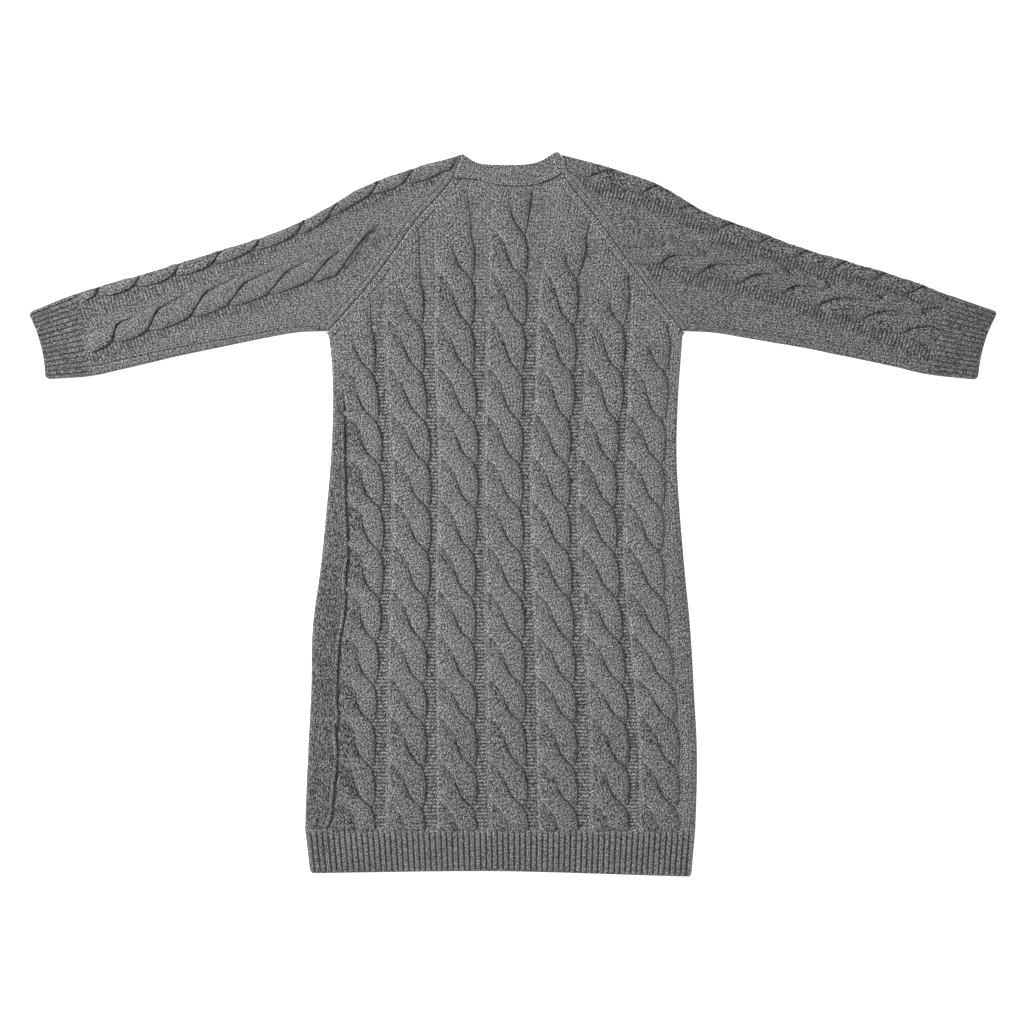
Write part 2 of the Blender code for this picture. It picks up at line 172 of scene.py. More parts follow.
LEFT_STRAND = table("turn edge lift tilt dark", [
    (-0.94, -26.9, -1.3, 0, 0.05), (-0.82, -25, -1, 0, 0.08), (-0.62, -20.5, -0.6, 0.2, 0.12),
    (-0.45, -17, 0.2, 0.4, 0.25), (-0.3, -14.6, 0.9, 0.6, 0.5), (-0.17, -12, 1.5, 0.8, 0.9),
    (-0.11, -6, 1.9, 0.9, 1), (-0.08, 4, 2.1, 0.9, 1), (-0.05, 13, 2.2, 0.8, 1),
    (-0.01, 18.5, 2.3, 0.6, 1), (0.06, 22, 2.2, 0.4, 1), (0.22, 25.2, 1.9, 0.2, 0.95),
    (0.4, 26.7, 1.5, 0.3, 0.9), (0.55, 26.9, 1.1, 0.5, 0.8), (0.7, 26.4, 0.6, 0.8, 0.6),
    (0.85, 25, 0.1, 1, 0.4), (0.95, 21.5, -0.4, 1, 0.2), (1.06, 16, -1.2, 0.8, 0.1),
])
RIGHT_STRAND = table("turn edge lift tilt dark", [
    (-1.45, -26.9, -1.6, 0, 0.4), (-1.28, -21.5, -1.2, 0, 0.7), (-1.15, -15, -0.8, 0.1, 1),
    (-1, -9, -0.3, 0.2, 1), (-0.85, -4.2, 0.1, 0.3, 1), (-0.7, -0.5, 0.6, 0.4, 0.9),
    (-0.5, 3, 1.2, 0.4, 0.6), (-0.25, 5.5, 1.7, 0.4, 0.35), (0, 8.5, 2, 0.3, 0.3),
    (0.1, 12.5, 2.1, 0.2, 0.4), (0.2, 18.5, 2.1, 0.1, 0.4), (0.3, 24.5, 2, 0, 0.4),
    (0.42, 27.5, 1.7, 0.1, 0.4), (0.6, 28, 1.2, 0.5, 0.4), (0.8, 26.8, 0.6, 0.8, 0.3),
    (0.95, 24, 0, 0.9, 0.2), (1.1, 20, -1, 0.8, 0.1),
])

# Folds of the sleeves: cuff edge, cuff seam, then even steps to the neck and the armpit
SLEEVES = {
    "left": table("upper_x upper_y lower_x lower_y", [
        (-685.3, 288.6, -660, 190.6), (-619, 314.8, -599.1, 195.1), (-549.6, 334.6, -557.4, 203.9),
        (-480.2, 355.3, -515.3, 213.7), (-410.8, 376.5, -473.5, 223.7), (-341.6, 398.6, -431.3, 232.5),
        (-275.9, 428, -389.2, 241.3), (-213.3, 464.2, -347, 249.9), (-145.9, 489.7, -304.7, 257.1),
        (-72.5, 510.5, -262, 258.8),
    ]),
    "right": table("upper_x upper_y lower_x lower_y", [
        (685.3, 289.6, 656, 190), (619.8, 312.1, 587.5, 197.5), (550.4, 337, 544.5, 207.4),
        (479.7, 358.3, 501.3, 216.8), (408.9, 378.8, 458, 225.6), (339.9, 404.6, 414.6, 234.6),
        (270.8, 430.2, 371.1, 242.1), (207.1, 467.2, 327.5, 249.5), (137.7, 491.7, 283.8, 256.7),
        (66.6, 511, 240.8, 258.8),
    ]),
}
# Widths of the two purl gutters of each sleeve, how strong the purl is and how much painted shade
# darkens the knitting
SLEEVE_LOOK = dict(zip(SIDES, table("under_cable under_fold strength shade", [
    (43, 44, 0.85, 0.1), (50, 56, 1, 0.16),
])))

# Cables of the sleeves: a row for each finished crossing, from the neck to the cuff. Step counts
# the rows of the sleeve's own table, and middle is the distance round it from the lower fold
SLEEVE_CABLES = {
    "left": table("turn step middle", [
        (-1, 8.5, 190), (0, 7.87, 152), (0.5, 7.5, 124), (1, 7.17, 119), (2, 5.95, 106), (3, 4.84, 96),
        (4, 3.86, 84), (5, 2.73, 72.5), (6, 1.75, 65), (7, 0.8, 58),
    ]),
    "right": table("turn step middle", [
        (-0.34, 8.18, 142), (0.66, 7.19, 130), (1.66, 6, 123), (2.66, 4.9, 112), (3.66, 4.08, 97),
        (4.66, 2.96, 85), (5.66, 1.9, 75), (6.66, 0.9, 66),
    ]),
}
# The same for the cables on the upper folds, with the distance from that fold instead
FOLD_CABLES = {
    "left": table("turn step past", [
        (-1, 8.7, -3), (0, 8.03, 0), (1, 7.33, 0), (2, 6.4, -3), (3, 5.68, -2), (4, 4.74, 3),
        (5, 3.9, 1), (6, 3.07, 3), (7, 2.24, 6), (8, 1.41, 9), (9, 0.6, 9),
    ]),
    "right": table("turn step past", [
        (-0.34, 8.61, -4), (0.66, 7.46, 0), (1.66, 6.64, 2), (2.66, 5.81, 2), (3.66, 5, 2),
        (4.66, 4.2, 4), (5.66, 3.41, 6), (6.66, 2.6, 6), (7.66, 1.8, 6), (8.66, 1, 6),
    ]),
}

# Free edge of the neck band, from the left raglan seam to the right one
NECK_EDGE = table("x y", [
    (-72.5, 510.5), (-61.6, 503), (-53.5, 498.4), (-43, 495.6), (-27, 494.7), (-9, 494.4), (9, 494.6),
    (22, 495.6), (33, 498), (42.5, 501.6), (51.5, 507.2), (60.5, 512.4), (66.6, 511),
])

# Line along the lower edge of the neck band
NECK_SEAM = table("x y", [
    (-84, 474.2), (-70, 475.2), (-51.6, 472.9), (-29.9, 467.1), (-11, 464.8), (8, 464.2),
    (24.3, 464.9), (43.8, 469.6), (57.5, 475.6), (70, 481.5),
])

# Front bands above the point of the V neck: the seam edge and the free edge of each
V_NECK = {
    "left": table("seam_x seam_y free_x free_y", [
        (-42, 246, -10.6, 254), (-53, 300, -21, 310), (-66, 355, -33, 368), (-78, 415, -44, 425),
        (-88.7, 471.3, -52.5, 468), (-72.5, 510.5, -55.5, 499),
    ]),
    "right": table("seam_x seam_y free_x free_y", [
        (21.9, 246, -9.4, 254), (34, 300, 2, 310), (48, 355, 15, 368), (61, 415, 28, 425),
        (74.5, 477, 38, 472), (66.6, 511, 48.5, 504.6),
    ]),
}

# Middles of the fronts' cables
FRONT_CABLES = {"left": (-60.0, -128.0, -196.0), "right": (38.0, 104.0, 170.0)}

# Groove between the left side panel and the first cable of the back
GROOVE = table("height x", [
    (-450.5, -264.5), (-429.5, -256), (-391.3, -252.3), (-344.5, -247.4), (-306.3, -250),
    (-286.5, -245.4), (-263.8, -248.4), (-185.9, -245), (-160.4, -239.6), (-125, -236),
    (-88.2, -235.8), (-52.8, -232.4), (19.5, -235.6), (139.9, -238), (175, -240),
])

# Middle of the front, where the two bands meet, and the bottom edge of the hem
CENTRE_FRONT = table("height x", [
    (-507, -17), (-450.5, -16.5), (-150, -13.5), (254, -10),
])
HEM_EDGE = table("x y", [
    (-288, -507.4), (-25, -504.6), (253, -512.4),
])


# ---------------------------------------------------------------- curves and tables

def column(rows, name):
    """One named column of a table, as an array."""
    return np.array([getattr(row, name) for row in rows], float)


def pair(rows, first, second):
    """Two named columns of a table, as an array of plan points."""
    return np.column_stack([column(rows, first), column(rows, second)])


def curve_at(points, place):
    """Points of the smooth curve through some points; place counts those points from 0."""
    points = np.asarray(points, float)
    padded = np.concatenate([2 * points[:1] - points[1:2], points, 2 * points[-1:] - points[-2:-1]])
    place = np.clip(np.asarray(place, float), 0, len(points) - 1 - 1e-9)
    first = place.astype(int)
    t = (place - first)[..., None]
    before, start, end, after = (padded[first + step] for step in range(4))
    bend = 2 * before - 5 * start + 4 * end - after
    twist = 3 * start - before - 3 * end + after
    return 0.5 * (2 * start + (end - before) * t + bend * t**2 + twist * t**3)


def read_smooth(x, xs, ys):
    """Values at x of the smooth curve through the points (xs, ys), where xs rises."""
    dense = curve_at(np.column_stack([xs, ys]), np.linspace(0, len(xs) - 1, 12 * len(xs)))
    return np.interp(x, dense[:, 0], dense[:, 1])


def at_height(rows, name, heights):
    """A column of a table of heights, read at some heights."""
    return read_smooth(heights, column(rows, "height"), column(rows, name))


def raglan(side):
    """Plan points of a raglan seam, from the armpit up."""
    return pair(RAGLAN, side + "_x", side + "_y")


def centre_front(heights):
    """Where the middle of the front is, at some heights."""
    return np.interp(heights, column(CENTRE_FRONT, "height"), column(CENTRE_FRONT, "x"))


def lengths(points):
    """How far along a line each of its points is."""
    return np.concatenate([[0.0], np.cumsum(np.hypot(*np.diff(points, axis=0).T))])


def eased(value, low, high):
    """0 below low, 1 above high, and a smooth rise between them."""
    share = np.clip((value - low) / (high - low), 0, 1)
    return share * share * (3 - 2 * share)


def swell(x, y):
    """Soft unevenness of the cloth where it lies."""
    return 0.45 * (np.sin(x / 61 + 0.6 * np.sin(y / 83)) * np.cos(y / 97 + 0.4)
                   + 0.6 * np.sin(x / 37 + y / 53 + 1.1))


# ---------------------------------------------------------------- forms that the knitting is laid on

class BackForm:
    """The upper layer: x and y are its own, and height is above its face."""

    def lay(self, x, y, height):
        inside = seam_distance(x, y)
        sunk = 1 - eased(inside, -1.0, 16.0)
        return np.column_stack([x, y, BACK_TOP + swell(x, y) + height * (1 - sunk) - 3.0 * sunk])


class FrontForm:
    """The lower layer, seen from below, so that x is turned round."""

    def lay(self, x, y, height):
        return np.column_stack([-x, y, FRONT_FACE - height])


class SleeveForm:
    """A flattened tube: x runs round it from its lower fold, y along it from the cuff's edge."""

    def __init__(self, side):
        rows = SLEEVES[side]
        self.turned = -INWARD[side]
        self.upper = pair(rows, "upper_x", "upper_y")
        self.lower = pair(rows, "lower_x", "lower_y")
        self.raglan = raglan(side)
        inland = self.lower[1] + self.upper[1] - self.lower[0] - self.upper[0]
        self.inland = inland / np.hypot(*inland)
        steps = np.linspace(0, len(rows) - 1, 200)
        middle = (self.plan(steps, 0.4) + self.plan(steps, 0.6)) / 2
        self.steps, self.reach = steps, lengths(middle)
        self.tall = (SLEEVE_HIGH - SLEEVE_LOW) / 2
        self.quarter = pi / 2 * np.sqrt((SLEEVE_ROUND**2 + self.tall**2) / 2)

    def plan(self, step, share):
        """Plan point at a share of the width from the lower fold to the upper one."""
        step, share = np.broadcast_arrays(np.asarray(step, float), np.asarray(share, float))
        lower, upper = curve_at(self.lower, step), curve_at(self.upper, step)
        inward = (lower - upper) / np.hypot(*(lower - upper).T)[:, None]
        upper = upper + inward * SLEEVE_INSET
        straight = lower + share[:, None] * (upper - lower)
        knots = lengths(self.raglan) / lengths(self.raglan)[-1]
        seam = np.column_stack([np.interp(share, knots, self.raglan[:, axis]) for axis in (0, 1)])
        chord = self.raglan[0] + share[:, None] * (self.raglan[-1] - self.raglan[0])
        along = np.maximum(0, (step - 1) / (len(self.lower) - 2))
        hollow = CUFF_HOLLOW * 4 * share * (1 - share)
        corner = CUFF_CORNER * np.maximum(0, np.abs(2 * share - 1) - 0.86) ** 2 / 0.14**2
        drawn = (hollow + corner - CUFF_LONGER) * np.maximum(0, 1 - step) ** 1.5
        return straight + (along**3)[:, None] * (seam - chord) + drawn[:, None] * self.inland

    def width(self, step):
        """Width from fold to fold."""
        return np.hypot(*(curve_at(self.upper, step) - curve_at(self.lower, step)).T) - SLEEVE_INSET

    def reach_at(self, step):
        """How far from the cuff's edge a step is."""
        return float(np.interp(step, self.steps, self.reach))

    def step_at(self, reach):
        """The step at a distance from the cuff's edge."""
        return np.interp(reach, self.reach, self.steps)

    def round(self, step):
        """Way over one face, from fold to fold."""
        return self.width(step) - 2 * SLEEVE_ROUND + 2 * self.quarter

    def lay(self, x, y, height):
        step = self.step_at(y)
        way, width = self.round(step), self.width(step)
        run = x * self.turned
        under = (run < 0) | (run > way)
        run = np.where(run < 0, -run, np.where(run > way, 2 * way - run, run))
        low = np.clip(run / self.quarter, 0, 1) * pi / 2
        high = np.clip((way - run) / self.quarter, 0, 1) * pi / 2
        across = SLEEVE_ROUND * (1 - np.cos(low)) + np.clip(run - self.quarter, 0, way - 2 * self.quarter)
        across = across + SLEEVE_ROUND * np.cos(high)
        rise = np.sin(np.minimum(low, high))
        lean = np.where(low < high, -np.cos(low), np.cos(high))
        flat = self.plan(step, across / width)
        outward = curve_at(self.upper, step) - curve_at(self.lower, step)
        outward = outward / np.hypot(*outward.T)[:, None]
        flat = flat + outward * (lean * height * 0.22)[:, None]
        sign = np.where(under, -1, 1)
        squeeze = np.where(under, 0.5, 1.0)
        middle = (SLEEVE_HIGH + SLEEVE_LOW) / 2
        z = middle + sign * (self.tall + height * squeeze) * rise
        z = z + np.where(under, 0, swell(flat[:, 0], flat[:, 1]) * rise)
        return np.column_stack([flat, z])


class PathForm:
    """A strip along a line on a layer: y runs along the line and x to its right-hand side.

    Slants say how much sooner the strip ends on its left and on its right.
    """

    def __init__(self, points, level, upwards=1, uneven=1.0, slants=(0.0, 0.0)):
        fine = curve_at(points, np.linspace(0, len(points) - 1, 160))
        self.points, self.reach = fine, lengths(fine)
        slope = np.gradient(fine, axis=0)
        slope /= np.hypot(*slope.T)[:, None]
        self.side = np.column_stack([slope[:, 1], -slope[:, 0]])
        self.level, self.upwards, self.uneven, self.slants = level, upwards, uneven, slants

    def lay(self, x, y, height):
        end = self.reach[-1]
        y = y - np.abs(x) * np.where(x < 0, *self.slants) * eased(y, end - 45.0, end)
        read = [np.column_stack([np.interp(y, self.reach, row) for row in rows.T])
                for rows in (self.points, self.side)]
        flat = read[0] + read[1] * (x * self.upwards)[:, None]
        z = self.level + self.upwards * height + self.uneven * swell(flat[:, 0], flat[:, 1])
        return np.column_stack([flat, z])


class EdgeForm:
    """A strip from an edge to a seam: y runs from the edge, over which it rolls, and x along it."""

    def __init__(self, edge, seam, level, upwards=1, uneven=1.0, roll=2.4):
        self.edge, self.seam = edge, seam
        self.level, self.upwards, self.uneven, self.roll = level, upwards, uneven, roll

    def lay(self, x, y, height):
        edge = self.edge(x)
        across = self.seam(x) - edge
        width = np.hypot(*across.T)
        across /= width[:, None]
        angle = np.clip((self.roll - y) / self.roll, 0, pi / 2)
        inward = np.where(angle > 0, self.roll * (1 - np.sin(angle)), y) - height * np.sin(angle)
        drop = self.roll * (1 - np.cos(angle))
        flat = edge + across * inward[:, None]
        z = self.level + self.upwards * (height * np.cos(angle) - drop)
        z = z + self.uneven * swell(flat[:, 0], flat[:, 1])
        return np.column_stack([flat, z])


def seam_distance(x, y):
    """How far a point of the back is inside its raglan, neck and hem seams."""
    found = np.full(np.shape(x), FAR)
    for side in SIDES:
        seam = raglan(side)
        for start, end in zip(seam, seam[1:]):
            run = end - start
            away = INWARD[side] * ((x - start[0]) * run[1] - (y - start[1]) * run[0]) / np.hypot(*run)
            near = (y > start[1] - 12) & (y < end[1] + 12)
            found = np.where(near, np.minimum(found, away), found)
    neck = NECK_SEAM_LOW + NECK_DIP * ((x - NECK_MIDDLE) / NECK_HALF) ** 2
    return np.minimum(np.minimum(found, neck - y), (y - HEM_SEAM) * 4 + 2)


# ---------------------------------------------------------------- making meshes

def placed(name, data):
    """A new object of the scene."""
    made = bpy.data.objects.new(name, data)
    bpy.context.scene.collection.objects.link(made)
    return made


def named_values(mesh, name, kind, values):
    """Stores values on a mesh's points."""
    made = mesh.attributes.new(name, kind, "POINT")
    field = "vector" if kind == "FLOAT_VECTOR" else "value"
    made.data.foreach_set(field, np.asarray(values, np.float32).ravel())


def outwards(meshes):
    """Joins closed meshes in the first of them, with every face turned outwards."""
    form = bmesh.new()
    for mesh in meshes:
        form.from_mesh(mesh)
    bmesh.ops.recalc_face_normals(form, faces=form.faces)
    form.to_mesh(meshes[0])
    form.free()
    return meshes[0]


def shell(name, outer, inner, stitches, purl, material, closed=False, shade=0.0):
    """A piece of cloth between an outer and an inner grid of points."""
    rows, columns = outer.shape[:2]
    count = rows * columns
    index = np.arange(count).reshape(rows, columns)
    grid = np.hstack([index, index[:, :1]]) if closed else index
    skin = np.stack([grid[:-1, :-1], grid[:-1, 1:], grid[1:, 1:], grid[1:, :-1]], axis=-1).reshape(-1, 4)
    faces = skin.tolist() + (skin[:, ::-1] + count).tolist()
    if closed:
        rims = [list(grid[0]), list(grid[-1])]
    else:
        rims = [[*index[0], *index[1:, -1], *index[-1, -2::-1], *index[-2::-1, 0]]]
    for rim in rims:
        faces += [(start, start + count, end + count, end) for start, end in zip(rim, rim[1:])]
    points = np.vstack([outer.reshape(count, 3), inner.reshape(count, 3)]) * MM
    mesh = bpy.data.meshes.new(name)
    mesh.from_pydata(points.tolist(), [], faces)
    outwards([mesh])
    both = np.tile(stitches.reshape(count, 2), (2, 1))
    # The third part of each stitch value is painted shade, which darkens the cloth's colour
    named_values(mesh, "stitch", "FLOAT_VECTOR", np.column_stack([both, np.full(2 * count, shade)]))
    named_values(mesh, "purl", "FLOAT", np.concatenate([purl.ravel(), 1 - purl.ravel()]))
    mesh.materials.append(material)
    mesh.shade_smooth()
    mesh.set_sharp_from_angle(angle=radians(50))
    return placed(name, mesh)


def flat_cloth(name, plan, face, back, material, purl=None, stitches=None):
    """A piece of cloth between the heights of its face and a level back."""
    if stitches is None:
        stitches = np.dstack([plan[..., 0] / WALE, plan[..., 1] / COURSE])
    purl = np.zeros(face.shape) if purl is None else purl
    inner = np.dstack([plan, np.full(face.shape, back)])
    return shell(name + "_cloth", np.dstack([plan, face]), inner, stitches, purl, material)


Strand = namedtuple("Strand", "x y left right lift tilt course wale wales thick crease groove shade "
                              "in_right in_left")


def strand(x, y, left, right, lift=0.0, tilt=0.0, wale=0.0, wales=2.5, thick=2.4, crease=1.0, groove=0.0,
           shade=0.0, dark=3.0, soft=1.0):
    """One strand worked flat: its line, and its edges and height at each point.

    Crease and groove say how dark the painted shade along its right and left edges is, or how bright
    the painted highlight there is where they are below zero. Dark is how wide they are, and soft is how
    much wider the left one is. Shade is painted shade over the whole strand.
    """
    y = np.asarray(y, float)
    x, left, right = (np.broadcast_to(np.asarray(part, float), y.shape) for part in (x, left, right))
    inwards = [width * np.hypot(1, np.clip(np.gradient(x + edge) / np.gradient(y), -5, 5))
               for edge, width in ((right, dark), (left, dark * soft))]
    half = np.maximum((right - left) / 2, 0.3)
    shares = [np.clip(half / inward, 1.1, 60) for inward in inwards]
    parts = [x, y, left, right, lift, tilt, y / COURSE, wale, wales, thick, crease, groove, shade, *shares]
    return Strand(*[np.broadcast_to(np.asarray(part, float), y.shape) for part in parts])


# ---------------------------------------------------------------- trees of nodes

class Wire:
    """A value in a tree of nodes. Sums of wires add their own nodes."""

    def __init__(self, bench, socket):
        self.bench, self.socket = bench, socket

    def __add__(self, other):
        return self.bench.math("ADD", self, other)

    def __sub__(self, other):
        return self.bench.math("SUBTRACT", self, other)

    def __rsub__(self, other):
        return self.bench.math("SUBTRACT", other, self)

    def __mul__(self, other):
        return self.bench.math("MULTIPLY", self, other)

    def __pow__(self, other):
        return self.bench.math("POWER", self, other)

    __radd__ = __add__
    __rmul__ = __mul__


class Bench:
    """Builds the nodes of one tree."""

    def __init__(self, tree):
        self.tree = tree
        tree.nodes.clear()

    def node(self, kind, settings=None, inputs=None, output=0):
        """A node with its settings made first, and then its values and links."""
        made = self.tree.nodes.new(kind)
        for name, value in (settings or {}).items():
            if name == "stops":
                ramp = made.color_ramp.elements
                while len(ramp) < len(value):
                    ramp.new(1.0)
                for stop, (place, colour) in zip(ramp, value):
                    stop.position = place
                    stop.color = (*colour, 1.0)
            else:
                setattr(made, name, value)
        for name, value in (inputs or {}).items():
            if isinstance(value, Wire):
                self.tree.links.new(value.socket, made.inputs[name])
            else:
                made.inputs[name].default_value = value
        return Wire(self, made.outputs[output]) if len(made.outputs) else made

    def math(self, operation, *values):
        """The result of one sum."""
        return self.node("ShaderNodeMath", {"operation": operation}, dict(enumerate(values)))

    def blend(self, share, first, second):
        """Between two values, by a share."""
        return self.node("ShaderNodeMix", {"data_type": "FLOAT"}, {0: share, 2: first, 3: second})

    def vector(self, x, y, z):
        """A vector from its three parts."""
        return self.node("ShaderNodeCombineXYZ", None, {0: x, 1: y, 2: z})

    def split(self, vector):
        """The three parts of a vector."""
        first = self.node("ShaderNodeSeparateXYZ", None, {0: vector})
        return [Wire(self, output) for output in first.socket.node.outputs]

    def stored(self, name, kind="FLOAT"):
        """A named value of the points, in a tree that makes geometry."""
        return self.node("GeometryNodeInputNamedAttribute", {"data_type": kind}, {"Name": name})

    def store(self, geometry, name, value, kind="FLOAT"):
        """The same geometry, with one more named value."""
        return self.node("GeometryNodeStoreNamedAttribute", {"data_type": kind, "domain": "POINT"},
                         {"Geometry": geometry, "Name": name, "Value": value})


def sweep_tree():
    """Tree that thickens each line into a flattened, closed strand of knitting."""
    tree = bpy.data.node_groups.new("strands_of_knitting", "GeometryNodeTree")
    bench = Bench(tree)
    asked = {name: tree.interface.new_socket(name, in_out="INPUT", socket_type="NodeSocket" + kind).identifier
             for name, kind in (("Lines", "Geometry"), ("Points round", "Int"), ("Material", "Material"))}
    tree.interface.new_socket("Strands", in_out="OUTPUT", socket_type="NodeSocketGeometry")
    given = {name: bench.node("NodeGroupInput", output=name) for name in asked}
    place = bench.node("GeometryNodeInputPosition")
    lines = bench.node("GeometryNodeMeshToCurve", None, {"Mesh": given["Lines"]})
    spine = bench.store(lines, "spine", place, "FLOAT_VECTOR")
    circle = bench.node("GeometryNodeCurvePrimitiveCircle", None,
                        {"Resolution": given["Points round"], "Radius": 1.0})
    ring = bench.store(circle, "ring", place, "FLOAT_VECTOR")
    tube = bench.node("GeometryNodeCurveToMesh", None,
                      {"Curve": spine, "Profile Curve": ring, "Fill Caps": True})

    across, over, _ = bench.split(bench.stored("ring", "FLOAT_VECTOR"))
    spine_x, spine_y, _ = bench.split(bench.stored("spine", "FLOAT_VECTOR"))
    left, right, lift, tilt, thick = map(bench.stored, ("left", "right", "lift", "tilt", "thick"))
    x = spine_x + ((right - left) * 0.5 * across + (left + right) * 0.5)
    z = thick * over + (tilt * across + lift)
    shaped = bench.node("GeometryNodeSetPosition", None,
                        {"Geometry": tube, "Position": bench.vector(x, spine_y, z)})
    wale = bench.stored("wales") * across + bench.stored("wale")
    stitch = bench.vector(wale, bench.stored("course"), bench.stored("shade"))
    sewn = bench.store(shaped, "stitch", stitch, "FLOAT_VECTOR")

    def darkness(strength, steepness, side):
        """Painted shade at a place, by how close it is to the strand's right (1) or left (-1) edge, or a
        painted highlight where the strength is below zero.
        """
        near = 1 - (1 - across * side) * bench.stored(steepness)
        return bench.math("MAXIMUM", near, 0.0) * bench.stored(strength)

    # Painted shade and painted highlight along the strands' edges, for the yarn's colour
    near_edge = darkness("crease", "in_right", 1.0) + darkness("groove", "in_left", -1.0)
    edged = bench.store(sewn, "near_edge", near_edge)
    smooth = bench.node("GeometryNodeSetShadeSmooth", None, {"Geometry": edged})
    whole = bench.node("GeometryNodeRealizeInstances", None, {"Geometry": smooth})
    dressed = bench.node("GeometryNodeSetMaterial", None, {"Geometry": whole, "Material": given["Material"]})
    bench.node("NodeGroupOutput", None, {0: dressed})
    return tree, asked


SWEEP, SWEEP_INPUTS = sweep_tree()


def sweep(name, groups, material, points_round):
    """One mesh of strands: each group is a form and the strands that are laid on it."""
    meshes = []
    for form, strands in groups:
        lines = bpy.data.meshes.new(name + "_lines")
        count = np.cumsum([0] + [len(one.y) for one in strands])
        edges = [(n, n + 1) for start, end in zip(count, count[1:]) for n in range(start, end - 1)]
        joined = {part: np.concatenate([getattr(one, part) for one in strands]) for part in Strand._fields}
        flat = np.column_stack([joined["x"], joined["y"], np.zeros(count[-1])])
        lines.from_pydata(flat.tolist(), edges, [])
        for part in Strand._fields[2:]:
            named_values(lines, part, "FLOAT", joined[part])
        maker = placed(name + "_maker", lines)
        swept = maker.modifiers.new("strands", "NODES")
        swept.node_group = SWEEP
        swept[SWEEP_INPUTS["Points round"]] = points_round
        swept[SWEEP_INPUTS["Material"]] = material
        graph = bpy.context.evaluated_depsgraph_get()
        mesh = bpy.data.meshes.new_from_object(maker.evaluated_get(graph), preserve_all_data_layers=True,
                                               depsgraph=graph)
        bpy.data.objects.remove(maker)
        flat = np.zeros(len(mesh.vertices) * 3)
        mesh.vertices.foreach_get("co", flat)
        laid = form.lay(*flat.reshape(-1, 3).T) * MM
        laid[:, 2] = np.maximum(laid[:, 2], 0.0)
        mesh.vertices.foreach_set("co", laid.ravel())
        meshes.append(mesh)
    mesh = outwards(meshes)
    for spare in set(mesh.attributes.keys()) & {"spine", "ring", *Strand._fields}:
        mesh.attributes.remove(mesh.attributes[spare])
    mesh.name = name
    return placed(name, mesh)


# ---------------------------------------------------------------- cables

def strand_run(kind, x, y, turn, earliest, size, base, thick, wale, rise, dark, painted_highlight):
    """One strand of a cable, where it can be seen. It keeps its lane before the earliest turn."""
    first, last = kind[0].turn, kind[-1].turn
    seen = (turn <= last) & (turn >= (first if earliest is None else -FAR))
    own = turn[seen]
    if np.count_nonzero(seen) < 4:
        return []
    lane = 1.0 if earliest is None else eased(own, earliest - 0.5, earliest + 0.4)
    own = own if earliest is None else np.maximum(own, earliest)

    def read(name, where):
        return read_smooth(where, column(kind, "turn"), column(kind, name))

    right, cover = read("edge", own), read("edge", own - 1)
    ahead, behind = own - 1 < -0.6, own < -0.6
    left = np.where(own - 1 < first, OUTER_EDGE, np.where(ahead, cover, cover - UNDERLAP))
    right = np.where(behind, right + UNDERLAP, right)
    flat = 1.0 if earliest is None else 0.25 + 0.75 * lane
    lift, tilt = read("lift", own) * rise, read("tilt", own) * rise
    lined = 1.0 if earliest is None else 0.12 + 0.88 * lane**1.5
    # Crease and groove are painted shade along the right-hand and left-hand edges
    crease = read("dark", own) * lined
    groove = 0.8 * read("dark", own - 1) * lined
    hidden = 0.35 if painted_highlight else 0.0
    groove = groove * eased(own, first + 1.0 + hidden, first + 1.2 + 1.3 * hidden)
    # Lit is a painted highlight along part of a strand's left-hand edge
    lit = painted_highlight * eased(own, -1.15, -0.95) * (1 - eased(own, 0.15, 0.42)) * lined * rise
    groove = groove - 0.75 * lit
    crease = crease * np.where(own < -0.15, eased(y[seen], HEM_SEAM + 12, HEM_SEAM + 34), 1.0)
    # Painted shade over a strand where it comes out from under its neighbour
    shade = 0.14 * flat * eased(own, -1.15, -0.95) * (1 - eased(own, -0.6, -0.35))
    full = np.clip((right - left) / 13.0, 0.05, 1) ** 0.7
    wales = (right - left) / 2 / WALE
    thick = thick * full * (0.35 + 0.65 * flat) * (0.45 + 0.55 * eased(own, -1.0, -0.45))
    return [strand(x[seen], y[seen], left * size, right * size, (base + lift * flat) * size,
                   tilt * flat * size, wale=wale - wales, wales=wales, thick=thick * size,
                   crease=crease, groove=groove, shade=shade, dark=dark, soft=1 + 0.9 * lit)]


def cable(kind, x, y, turn, first=None, size=1.0, base=0.3, thick=3.9, wale=0.0, rise=1.0, dark=2.8,
          painted_highlight=1.0):
    """Strands that cross again and again, down a line whose turns are given."""
    made = []
    start = int(np.floor(turn.min())) - 1 if first is None else first - 1
    for number in range(start, int(np.ceil(turn.max())) + 3):
        earliest = None
        if first is not None and number <= first:
            earliest = {first: -0.45, first - 1: 0.12}.get(number, 0.45)
        made += strand_run(kind, x, y, turn - number, earliest, size, base, thick,
                           wale + 7.0 * (number % 2), rise, dark, painted_highlight)
    return made


def recut(one, left, right, dark):
    """A strand with other edges, whose wales are still counted from the right-hand one."""
    again = strand(one.x, one.y, left, right, dark=dark)
    wales = (right - left) / 2 / WALE
    return one._replace(left=left, right=right, wales=wales, wale=one.wale + one.wales - wales,
                        in_left=again.in_left, in_right=again.in_right)


def shaded(strands, shade):
    """The same strands, darker by painted shade."""
    return [one._replace(shade=one.shade + shade) for one in strands]


